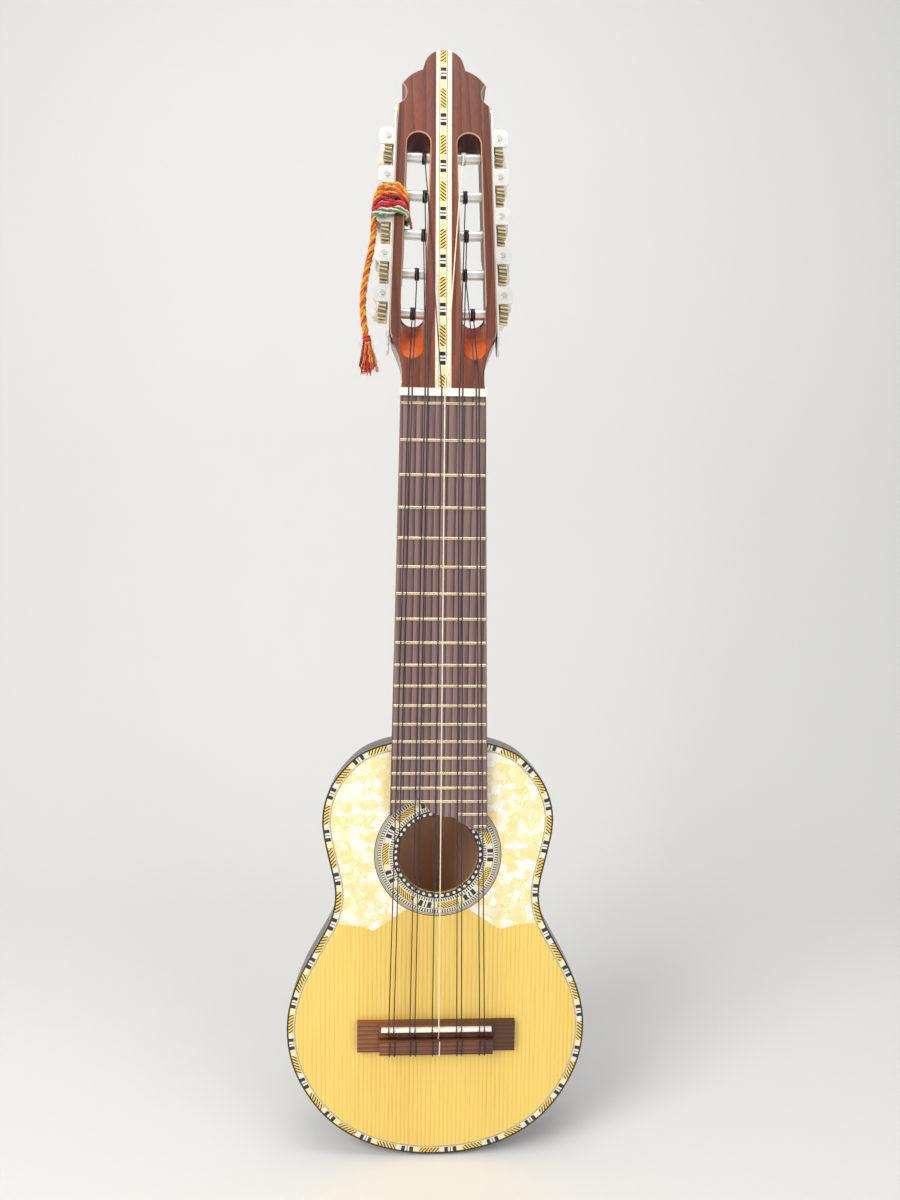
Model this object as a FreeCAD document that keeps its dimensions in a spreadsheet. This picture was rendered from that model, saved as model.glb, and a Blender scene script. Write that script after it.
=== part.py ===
# Charango: a small ten-string lute with a carved bowl back, slotted headstock and two sets of five worm tuners.
# Frame: +Z runs up the neck, the soundboard faces -Y, X is the player's-eye right of the soundboard.
# Origin: on the centre plane, at the headstock end of the nut, in the plane of the soundboard's top.
# Millimetres. "Plate frame": local x = X, local y = Z, local z = -Y (out of the soundboard).
# "Head frame": the same, tilted back with the headstock, with local y running up the headstock face.
import FreeCAD, Part
import os, math
from FreeCAD import Vector as V, Placement, Rotation

doc = FreeCAD.newDocument("charango")
sheet = doc.addObject("Spreadsheet::Sheet", "dims")
DIMS = [
    ("scale_len", 370.0), ("zero_fret_z", 8.3), ("compensation", 1.4),
    ("board_top_w", 48.5), ("board_end_w", 58.1), ("board_thk", 5.0), ("board_end_z", 258.0),
    ("nut_thk", 4.3), ("nut_height", 7.1), ("nut_len", 48.6),
    ("top_thk", 2.2), ("binding_w", 1.0), ("marq_w", 4.0), ("inlay_depth", 1.2),
    ("rosette_r", 38.2), ("hole_r", 23.9), ("rosette_z", 274.0), ("pearl_depth", 0.8),
    ("bowl_depth", 64.0), ("wall", 5.0), ("bowl_mid_z", 334.0),
    ("bridge_len", 95.6), ("bridge_wid", 18.7), ("bridge_z", 386.55), ("bridge_wing_thk", 3.6), ("bridge_mid_len", 68.6),
    ("bridge_mid_thk", 6.4), ("tie_w", 9.0),
    ("saddle_len", 66.2), ("saddle_thk", 2.4), ("saddle_top", 8.9), ("saddle_bottom", 2.8),
    ("head_tilt", 12.0), ("head_thk", 20.0), ("head_face", 3.0), ("head_inlay_w", 9.3), ("head_inlay_depth", 1.0),
    ("edge_bevel", 0.7),
    ("post_pitch", 24.3), ("post_first", 48.5), ("post_depth", 8.5), ("post_rad", 3.0), ("post_tail", 25.2), ("run_gap", 0.07),
    ("gear_teeth", 15.0), ("gear_pitch_rad", 6.0), ("gear_thk", 4.6), ("gear_mid", 4.5), ("gear_tip_rad", 6.6), ("gear_root_rad", 5.2),
    ("gear_bore_rad", 2.0), ("centre_dist", 8.6), ("worm_tip_rad", 3.2), ("worm_core_rad", 1.8), ("shaft_rad", 1.5),
    ("plate_thk", 1.2), ("plate_half", 7.5), ("lug_reach", 9.8), ("lug_height", 10.6), ("lug_thk", 1.2),
    ("button_wid", 15.2), ("button_len", 14.6), ("button_thk", 6.6), ("button_mid", 22.6),
    ("string_rad", 0.34), ("yarn_dia", 4.4),
]
for i, (k, v) in enumerate(DIMS):
    sheet.set("A%d" % (i + 1), k)
    sheet.set("B%d" % (i + 1), "%g" % v)
    sheet.setAlias("B%d" % (i + 1), k)
doc.recompute()
D = {k: float(getattr(sheet, k)) for k, _ in DIMS}
TILT = math.radians(D["head_tilt"])

PLATE = Placement(V(0, 0, 0), Rotation(V(1, 0, 0), 90))
HEAD = Placement(V(0, -D["head_face"], 0), Rotation(V(1, 0, 0), 90 - D["head_tilt"]))
nodes = []


def note(obj, label):
    obj.Label = label
    nodes.append(obj)
    return obj


def plane(body, role="XY_Plane"):
    return [o for o in body.Origin.OriginFeatures if o.Role == role][0]


def new_body(name, placement=None):
    b = doc.addObject("PartDesign::Body", name)
    b.Placement = placement or PLATE
    return b


def sketch(body, name, geometry, height=0.0, role="XY_Plane"):
    s = body.newObject("Sketcher::SketchObject", name)
    s.AttachmentSupport = [(plane(body, role), "")]
    s.MapMode = "FlatFace"
    s.AttachmentOffset = Placement(V(0, 0, height), Rotation())
    s.addGeometry(geometry, False)
    return s


def pad(body, name, sk, expr, down=False, sym=False):
    p = body.newObject("PartDesign::Pad", name)
    p.Profile = sk
    p.setExpression("Length", expr)
    p.Reversed = down
    if sym:
        p.Midplane = True
    return p


def pocket(body, name, sk, expr, up=False):
    p = body.newObject("PartDesign::Pocket", name)
    p.Profile = sk
    p.setExpression("Length", expr)
    p.Reversed = up
    return p


def poly(pts):
    return [Part.LineSegment(V(*pts[i], 0), V(*pts[(i + 1) % len(pts)], 0)) for i in range(len(pts))]


def circle(x, y, r):
    return [Part.Circle(V(x, y, 0), V(0, 0, 1), r)]


def rect(x0, y0, x1, y1):
    return poly([(x0, y0), (x1, y0), (x1, y1), (x0, y1)])


# ---------------------------------------------------------------- soundboard outline
HALF = [(0, -203.2), (10, -203.4), (20, -204.2), (30, -205.9), (38.7, -208.6), (47.2, -212.8), (54.9, -219.7), (61.3, -227.6),
        (65.9, -236.6), (68.4, -245.9), (69.05, -254.0), (68.2, -262.5), (66.3, -272), (64.0, -282), (62.1, -291), (61.4, -299),
        (62.2, -307), (64.6, -315), (68.6, -323), (75.4, -335.2), (80.9, -345.5), (85.3, -355.5), (88.5, -366), (90.3, -377),
        (90.5, -385), (89.7, -395), (87.5, -405), (83.5, -415.5), (78.2, -425.2), (71.2, -435), (61.0, -445.2), (50.2, -452.5),
        (38.0, -458.2), (25.5, -461.9), (12.5, -464.0), (0, -464.6)]
RING = HALF + [(-x, y) for x, y in reversed(HALF[1:-1])]


def closed_spline(pts):
    c = Part.BSplineCurve()
    c.interpolate(Points=[V(x, y, 0) for x, y in pts], PeriodicFlag=True)
    return c


OUT = closed_spline(RING)


def inset(dist, n=88):
    """points of the outline moved inwards by dist, mirrored exactly about the centre line"""
    a, b = OUT.FirstParameter, OUT.LastParameter
    half = []
    for i in range(n // 2 + 1):
        u = OUT.parameterAtDistance(OUT.length() * 0.5 * i / (n // 2), a)
        p, t = OUT.value(u), OUT.tangent(u)[0]
        half.append((p.x + t.y * dist, p.y - t.x * dist))
    half = [(0.0, half[0][1])] + half[1:-1] + [(0.0, half[-1][1])]
    return half + [(-x, y) for x, y in reversed(half[1:-1])]


def inward(d):
    pts = inset(d)
    if abs(pts[0][1] - (-203.2 - d)) > 0.2:      # the spline runs the other way round
        pts = inset(-d)
    return pts


def outline(d):
    return closed_spline(inward(d) if d > 0 else RING)


IN1 = D["binding_w"]
IN2 = D["binding_w"] + D["marq_w"]
RZ = -D["rosette_z"]

# soundboard
sb = note(new_body("Soundboard"), "soundboard")
pad(sb, "SoundboardPad", sketch(sb, "SoundboardOutline", [outline(IN1)]), "dims.top_thk", down=True)
s = sketch(sb, "MarquetryChannel", [outline(IN1), outline(IN2)])
pocket(sb, "MarquetryPocket", s, "dims.inlay_depth")
s = sketch(sb, "RosetteChannel", circle(0, RZ, D["rosette_r"]))
s.setExpression("AttachmentOffset.Base.z", "0")
pocket(sb, "RosettePocket", s, "dims.inlay_depth")
s = sketch(sb, "SoundHole", circle(0, RZ, D["hole_r"]))
pocket(sb, "HolePocket", s, "dims.top_thk + 1")


def pearl(side):
    """one plate of the upper bout, from the fretboard's edge to the border, with a scalloped lower edge"""
    def bx(y):
        return D["board_top_w"] / 2 + (D["board_end_w"] - D["board_top_w"]) / 2 * (-y) / 250.0
    ring = inward(IN2)
    ring = [p for p in ring if p[0] > 0]
    ring.sort(key=lambda p: -p[1])
    border = [p for p in ring if -319.2 < p[1] < -206 and p[0] > 29.6]
    edge = [Part.LineSegment(V(side * bx(border[0][1]), border[0][1], 0), V(side * border[0][0], border[0][1], 0))]
    c = Part.BSplineCurve()
    c.interpolate([V(side * x, y, 0) for x, y in border])
    edge.append(c)
    low = [border[-1], (50.0, -317.6), (38.2, -321.0)]
    a = Part.Arc(*[V(side * x, y, 0) for x, y in low])
    edge.append(a)
    r = D["rosette_r"]
    x1 = 18.5
    y1 = RZ - math.sqrt(r * r - x1 * x1)
    edge.append(Part.Arc(V(side * 38.2, -321.0, 0), V(side * 29.2, -314.9, 0), V(side * x1, y1, 0)))
    xt = bx(-250)
    yt = RZ + math.sqrt(r * r - xt * xt)
    edge.append(Part.Arc(V(side * x1, y1, 0), V(side * r, RZ, 0), V(side * xt, yt, 0)))
    edge.append(Part.LineSegment(V(side * xt, yt, 0), V(side * bx(border[0][1]), border[0][1], 0)))
    return edge


for side, nm in ((1, "R"), (-1, "L")):
    pocket(sb, "PearlPocket" + nm, sketch(sb, "PearlRecess" + nm, pearl(side)), "dims.pearl_depth")
pb = []
for side, nm in ((1, "Right"), (-1, "Left")):
    b = new_body("Pearl" + nm)
    pad(b, "PearlPad" + nm, sketch(b, "PearlOutline" + nm, pearl(side)), "dims.pearl_depth", down=True)
    pb.append(b)
pearls = doc.addObject("Part::Compound", "PearloidPlates")
pearls.Links = pb
note(pearls, "pearloid_plates")

# black edge binding and the marquetry border inlaid beside it
b = note(new_body("EdgeBinding"), "edge_binding")
pad(b, "BindingPad", sketch(b, "BindingRing", [outline(0), outline(IN1)]), "dims.top_thk", down=True)
b = note(new_body("EdgeMarquetry"), "edge_marquetry")
pad(b, "MarqPad", sketch(b, "MarqRing", [outline(IN1), outline(IN2)]), "dims.inlay_depth", down=True)

# rosette ring
b = note(new_body("Rosette"), "rosette")
pad(b, "RosettePad", sketch(b, "RosetteRing", circle(0, RZ, D["rosette_r"]) + circle(0, RZ, D["hole_r"])), "dims.inlay_depth", down=True)

# ---------------------------------------------------------------- bowl
ZM = -D["bowl_mid_z"]


def section(pts, k, w):
    c = Part.BSplineCurve()
    c.interpolate(Points=[V(x * k, ZM + (y - ZM) * k, w) for x, y in pts], PeriodicFlag=True)
    return Part.Wire([c.toShape()])


def dome(pts, depth, top, last=74.0, count=9):
    wires = []
    for i in range(count):
        t = math.radians(last) * i / (count - 1)
        k = math.cos(t) ** (2.0 / 3.0)
        d = depth * math.sin(t) ** (2.0 / 3.0) if i else 0.0
        wires.append(section(pts, k, top - d))
    return Part.makeLoft(wires, True, False)


outer = dome(RING, D["bowl_depth"] - D["top_thk"], -D["top_thk"])
thin = inward(D["wall"] + 1.0)
void = dome(thin, D["bowl_depth"] - D["top_thk"] - D["wall"], -D["top_thk"] + 0.0)
cap = Part.Face(section(thin, 1.0, -D["top_thk"])).extrude(V(0, 0, 2))
void = void.fuse(cap).common(Part.makeBox(300, 260, 120, V(-150, -480, -100)).cut(Part.makeBox(300, 60, 120, V(-150, -227, -100))))
bowl = doc.addObject("Part::Feature", "Bowl")
bowl.Shape = outer.cut(void)
bowl.Placement = PLATE
note(bowl, "bowl")

# ---------------------------------------------------------------- neck and headstock (one carved piece)
HB = [(24.0, 0.0), (23.5, 5.0), (23.7, 11.6), (24.7, 17.0), (26.6, 23.0), (29.0, 28.7), (30.5, 33.0), (30.8, 38.0), (30.9, 45.0)]


def head_outline():
    g = []
    for sd in (1, -1):
        def P(x, y):
            return V(sd * x, y, 0)
        c = Part.BSplineCurve()
        c.interpolate([P(*p) for p in HB])
        g += [c,
              Part.LineSegment(P(30.9, 45.0), P(28.05, 157.6)), Part.LineSegment(P(28.05, 157.6), P(26.9, 174.6)),
              Part.Arc(P(26.9, 174.6), P(22.4, 181.2), P(24.9, 187.2)),
              Part.Arc(P(24.9, 187.2), P(19.2, 193.4), P(12.4, 196.8)),
              Part.LineSegment(P(12.4, 196.8), P(11.6, 199.9))]
    g.append(Part.Arc(V(11.6, 199.9, 0), V(0, 209.1, 0), V(-11.6, 199.9, 0)))
    g.append(Part.LineSegment(V(24.0, 0, 0), V(-24.0, 0, 0)))
    return g


def slot_shape(sd, low):
    """a string slot: outer wall parallel to the head's side, inner wall leaning to the centre bar"""
    def xo(y):
        return 21.85 + (24.65 - 21.85) * (145 - y) / 110.0

    def xi(y):
        return 8.05 + (11.25 - 8.05) * (145 - y) / 110.0
    yt, yb = 149.6, low + 6.6
    g = [Part.LineSegment(V(sd * xo(yb), yb, 0), V(sd * xo(yt), yt, 0)),
         Part.Arc(V(sd * xo(yt), yt, 0), V(sd * (xo(yt) + xi(yt)) / 2, yt + 6.9, 0), V(sd * xi(yt), yt, 0)),
         Part.LineSegment(V(sd * xi(yt), yt, 0), V(sd * xi(yb), yb, 0)),
         Part.Arc(V(sd * xi(yb), yb, 0), V(sd * (xo(yb) + xi(yb)) / 2, low, 0), V(sd * xo(yb), yb, 0))]
    return g


hb = new_body("HeadBlank", HEAD)
pad(hb, "HeadPad", sketch(hb, "HeadOutline", head_outline()), "dims.head_thk", down=True)
for sd, nm in ((1, "R"), (-1, "L")):
    pocket(hb, "SlotPocket" + nm, sketch(hb, "Slot" + nm, slot_shape(sd, 45.0)), "dims.head_thk + 1")
doc.recompute()
face_edges = []
pocketed = doc.getObject("SlotPocketL")
for i, e in enumerate(pocketed.Shape.Edges):
    zs = [v.Point.z for v in e.Vertexes]
    ys = [v.Point.y for v in e.Vertexes]
    xs_ = [abs(v.Point.x) for v in e.Vertexes]
    if zs and max(abs(z) for z in zs) < 1e-4 and max(ys) > 1.0:
        face_edges.append(("Edge%d" % (i + 1), min(ys), max(ys), max(xs_)))

ramps = []
for sd, nm in ((1, "R"), (-1, "L")):
    w = Part.Wire([g.toShape() for g in [
        Part.LineSegment(V(sd * 24.2, 60, 0), V(sd * 24.75, 24.0, 0)),
        Part.Arc(V(sd * 24.75, 24.0, 0), V(sd * 18.1, 17.2, 0), V(sd * 11.45, 24.0, 0)),
        Part.LineSegment(V(sd * 11.45, 24.0, 0), V(sd * 10.7, 60, 0)),
        Part.LineSegment(V(sd * 10.7, 60, 0), V(sd * 24.2, 60, 0))]])
    f = Part.Face(w)
    f.translate(V(0, -1.4, 1.0))
    r = doc.addObject("Part::Feature", "RampTool" + nm)
    r.Shape = f.extrude(V(0, 1.4 * 22.5, -22.5))
    r.Placement = HEAD
    ramps.append(r)


def neck_section(z, half, deep, flat=0.0):
    """a D shape: flat top under the fretboard, rounded back"""
    pts = []
    for i in range(13):
        t = math.pi * i / 12
        pts.append(V(half * math.cos(t) * (1 if abs(math.cos(t)) > 1e-9 else 0), z, -deep * math.sin(t) ** 0.86))
    c = Part.BSplineCurve()
    c.interpolate(pts)
    return Part.Wire([c.toShape(), Part.LineSegment(pts[-1], pts[0]).toShape()])


def board_half(z):
    return D["board_top_w"] / 2 + (D["board_end_w"] - D["board_top_w"]) / 2 * (-z) / D["board_end_z"]


secs = [(1.0, 24.0, 18.2), (-12, None, 17.6), (-45, None, 17.9), (-90, None, 18.6), (-135, None, 19.6), (-160, None, 21.0),
        (-177, None, 25.0), (-188, None, 32.0), (-197, None, 39.0), (-206, None, 43.6), (-217, None, 45.6), (-232, None, 45.0)]
nk = Part.makeLoft([neck_section(z, hw if hw else board_half(z), dp) for z, hw, dp in secs], True, False)
nk = nk.cut(Part.makeBox(400, 400, 60, V(-200, -400, -D["top_thk"] - 0.0)).common(Part.Face(section(RING, 1.0, -D["top_thk"])).extrude(V(0, 0, 20))))
nk = nk.cut(outer)
shaft = doc.addObject("Part::Feature", "NeckShaft")
shaft.Shape = nk
shaft.Placement = PLATE

# ---------------------------------------------------------------- tuner stations
# Side frame: local x = outwards from the head's side edge, local y = up along that edge, local z = out of the face on the
# right side and out of the back on the left side, so one gear pair, with one hand of thread, serves both sides.
B = math.atan((30.9 - 28.05) / (157.6 - 45.0))
C1, S1 = math.cos(B), math.sin(B)


def edge_x(u):
    return 30.9 - (u - 45.0) * math.tan(B)


def station(side, k):
    """placement of the gear axis where it crosses the head's side edge; k = 1 at the crest end"""
    u = D["post_first"] + (5 - k) * D["post_pitch"]
    org = HEAD.multVec(V(side * edge_x(u), u, -D["post_depth"]))
    out = HEAD.Rotation.multVec(V(side * C1, S1, 0))
    up = HEAD.Rotation.multVec(V(-side * S1, C1, 0))
    m = FreeCAD.Matrix()
    zz = out.cross(up)
    m.A11, m.A21, m.A31 = out.x, out.y, out.z
    m.A12, m.A22, m.A32 = up.x, up.y, up.z
    m.A13, m.A23, m.A33 = zz.x, zz.y, zz.z
    m.A14, m.A24, m.A34 = org.x, org.y, org.z
    return Placement(m)


STATIONS = [(side, k) for side in (-1, 1) for k in (1, 2, 3, 4, 5)]
holes = []
for side, k in STATIONS:
    c = doc.addObject("Part::Cylinder", "PostHole_%s%d" % ("L" if side < 0 else "R", k))
    c.setExpression("Radius", "dims.post_rad + dims.run_gap")
    c.setExpression("Height", "dims.post_tail + 1.3")
    pl = station(side, k)
    c.Placement = pl.multiply(Placement(V(1.0, 0, 0), Rotation(V(0, 1, 0), -90)))
    holes.append(c)
hole_set = doc.addObject("Part::MultiFuse", "PostHoles")
hole_set.Shapes = holes

seat = doc.addObject("Part::Box", "NutAndBoardSeat")
seat.Length, seat.Width, seat.Height = 120, 400, 30
seat.Placement = PLATE.multiply(Placement(V(-60, -400, 0), Rotation()))
inl = doc.addObject("Part::Box", "HeadInlayChannel")
inl.setExpression("Length", "dims.head_inlay_w")
inl.Width = 216
inl.Height = 5
inl.Placement = HEAD.multiply(Placement(V(-D["head_inlay_w"] / 2, -3, -D["head_inlay_depth"]), Rotation()))

blank = doc.addObject("Part::MultiFuse", "NeckBlank")
blank.Shapes = [hb, shaft]
tools = doc.addObject("Part::MultiFuse", "NeckTools")
tools.Shapes = ramps + [seat, inl, hole_set]
neck = doc.addObject("Part::Cut", "Neck")
neck.Base, neck.Tool = blank, tools
note(neck, "neck")

# headstock centre inlay strip, following the crest
hi = new_body("HeadInlayBlank", HEAD)
y0 = math.tan(TILT) * D["head_face"] * 0.0
w2 = D["head_inlay_w"] / 2
ya = 197.16 + math.sqrt(11.94 ** 2 - w2 ** 2)
g = [Part.LineSegment(V(-w2, 0.25, 0), V(w2, 0.25, 0)), Part.LineSegment(V(w2, 0.25, 0), V(w2, ya, 0)),
     Part.Arc(V(w2, ya, 0), V(0, 209.1, 0), V(-w2, ya, 0)), Part.LineSegment(V(-w2, ya, 0), V(-w2, 0.25, 0))]
hi.Label = "headstock_inlay"
nodes.append(hi)
pad(hi, "HeadInlayPad", sketch(hi, "HeadInlayOutline", g), "dims.head_inlay_depth", down=True)

# ---------------------------------------------------------------- fretboard, frets, nut
def fret_z(n):
    return -D["zero_fret_z"] - D["scale_len"] * (1 - 2 ** (-n / 12.0))


fb = note(new_body("Fretboard"), "fretboard")
R1 = D["rosette_r"]


def on_ring(x, r):
    return RZ + math.sqrt(r * r - x * x)


xe = board_half(-249.0)
ys = -D["nut_thk"]
end = [(xe, -258.0), (22.4, -258.0), (19.0, -255.9), (11.4, -251.6), (9.0, -249.3), (3.0, -248.9), (-4.6, -246.4), (-9.4, -240.4), (-11.6, on_ring(11.6, R1))]
x_l = board_half(-248.8)
y_l = on_ring(x_l, R1)
g = [Part.LineSegment(V(-board_half(ys), ys, 0), V(board_half(ys), ys, 0)),
     Part.LineSegment(V(board_half(ys), ys, 0), V(board_half(-258.0), -258.0, 0))]
pts = [(board_half(-258.0), -258.0)] + end[1:]
g += [Part.LineSegment(V(*pts[i], 0), V(*pts[i + 1], 0)) for i in range(len(pts) - 1)]
g.append(Part.Arc(V(*end[-1], 0), V(-20.5, on_ring(20.5, R1), 0), V(-x_l, y_l, 0)))
g.append(Part.LineSegment(V(-x_l, y_l, 0), V(-board_half(ys), ys, 0)))
pad(fb, "FretboardPad", sketch(fb, "FretboardOutline", g), "dims.board_thk")


def fret_span(n):
    z = fret_z(n)
    a, b = -board_half(z), board_half(z)
    if n == 18:
        a = 10.6
    if n == 19:
        a = 20.0
    return z, a, b


g = []
for n in range(20):
    z, a, b = fret_span(n)
    g += rect(a + (0.6 if n < 18 else 0.8), z - 0.3, b - 0.6, z + 0.3)
pocket(fb, "FretSlots", sketch(fb, "FretSlotLines", g, D["board_thk"]), "1.6")

fr = []
for n in range(20):
    z, a, b = fret_span(n)
    t, c = D["board_thk"], 1.05
    crown = Part.Wire([Part.LineSegment(V(0, -0.29, t - 1.5), V(0, 0.29, t - 1.5)).toShape(), Part.LineSegment(V(0, 0.29, t - 1.5), V(0, 0.29, t)).toShape(),
                       Part.LineSegment(V(0, 0.29, t), V(0, 0.95, t)).toShape(), Part.Arc(V(0, 0.95, t), V(0, 0, t + c), V(0, -0.95, t)).toShape(),
                       Part.LineSegment(V(0, -0.95, t), V(0, -0.29, t)).toShape(), Part.LineSegment(V(0, -0.29, t), V(0, -0.29, t - 1.5)).toShape()])
    fr.append(Part.Face(crown).extrude(V(b - a - 1.2 - (0.2 if n >= 18 else 0), 0, 0)).translated(V(a + 0.6 + (0.2 if n >= 18 else 0), z, 0)))
frets = doc.addObject("Part::Feature", "Frets")
frets.Shape = Part.makeCompound(fr)
frets.Placement = PLATE
note(frets, "frets")

nut = note(new_body("Nut"), "nut")
L2 = D["nut_len"] / 2
pad(nut, "NutPad", sketch(nut, "NutPlan", rect(-L2, -D["nut_thk"], L2, 0.0)), "dims.nut_height")
doc.recompute()
NUT_X = [-19.6, -17.6, -10.3, -8.7, -0.9, 0.9, 9.0, 10.9, 18.6, 20.2]
SAD_X = [-28.7, -25.7, -16.1, -13.0, -2.6, 1.3, 12.0, 14.9, 25.8, 28.8]
g = []
for x in NUT_X:
    g += rect(x - 0.5, -D["nut_thk"] - 0.2, x + 0.5, 0.2)
pocket(nut, "NutSlots", sketch(nut, "NutSlotLines", g, D["nut_height"]), "0.6")

# ---------------------------------------------------------------- bridge and saddle
br = note(new_body("Bridge"), "bridge")
zc, hw = -D["bridge_z"], D["bridge_wid"] / 2
x1, x2 = D["bridge_len"] / 2, D["bridge_mid_len"] / 2
pad(br, "BridgeBase", sketch(br, "BridgePlan", rect(-x1, zc - hw, x1, zc + hw)), "dims.bridge_wing_thk")
pad(br, "BridgeMiddle", sketch(br, "BridgeMiddlePlan", rect(-x2, zc - hw - 0.5, x2, zc + hw)), "dims.bridge_mid_thk")
SZ = -D["zero_fret_z"] - D["scale_len"] - D["compensation"]
sl = D["saddle_len"] / 2
tie_front = zc - hw - 0.5 + D["tie_w"]
TIE_W = 4.2
pocket(br, "SaddleSlot", sketch(br, "SaddleSlotPlan", rect(-sl, SZ - D["saddle_thk"] / 2, sl, SZ + D["saddle_thk"] / 2), D["bridge_mid_thk"]),
       "dims.bridge_mid_thk - dims.saddle_bottom")
pocket(br, "TieChannel", sketch(br, "TieChannelPlan", rect(-x2 - 1, tie_front, x2 + 1, SZ - D["saddle_thk"] / 2 - 1.0), D["bridge_mid_thk"]), "3.4")
s = sketch(br, "TieHoles", [Part.Circle(V(x, TIE_W, 0), V(0, 0, 1), 0.55) for x in SAD_X], 0.0, "XZ_Plane")
doc.recompute()
vol = br.Shape.Volume
h = body_pocket = br.newObject("PartDesign::Pocket", "TieHolePocket")
h.Profile = s
h.Type = 1
h.Midplane = False
s.AttachmentOffset = Placement(V(0, 0, -(tie_front + 0.6)), Rotation())
h.Type = 0
h.setExpression("Length", "dims.tie_w + 3")
doc.recompute()
inside_tie = PLATE.multVec(V(SAD_X[0], tie_front - D["tie_w"] / 2, TIE_W))
if br.Shape.isInside(inside_tie, 1e-4, True):
    h.Reversed = True
    doc.recompute()
print("tie holes cut", vol - br.Shape.Volume, "open", not br.Shape.isInside(inside_tie, 1e-4, True))
saddle = note(new_body("Saddle"), "saddle")
pad(saddle, "SaddlePad", sketch(saddle, "SaddlePlan", rect(-sl + 0.05, SZ - D["saddle_thk"] / 2, sl - 0.05, SZ + D["saddle_thk"] / 2), D["saddle_bottom"]),
    "dims.saddle_top - dims.saddle_bottom")
doc.recompute()
f = saddle.newObject("PartDesign::Fillet", "SaddleCrown")
sp = doc.getObject("SaddlePad")
tops = ["Edge%d" % (i + 1) for i, e in enumerate(sp.Shape.Edges)
        if e.Length > 50 and min(v.Point.z for v in e.Vertexes) > D["saddle_top"] - 0.01]
f.Base = (sp, tops)
f.Radius = 0.9

# ---------------------------------------------------------------- braces under the soundboard
bs = []
for nm, x0, z0, wd, dp in (("BraceUpper", 51.5, -240.0, 7.0, 9.0), ("BraceLower", 53.0, -318.0, 7.0, 9.0), ("BridgePatch", 44.0, -396.0, 26.0, 2.0)):
    bx = doc.addObject("Part::Box", nm)
    bx.Length, bx.Width, bx.Height = 2 * x0, wd, dp
    bx.Placement = PLATE.multiply(Placement(V(-x0, z0, -D["top_thk"] - dp), Rotation()))
    bs.append(bx)
braces = doc.addObject("Part::Compound", "Braces")
braces.Links = bs
note(braces, "braces")

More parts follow.
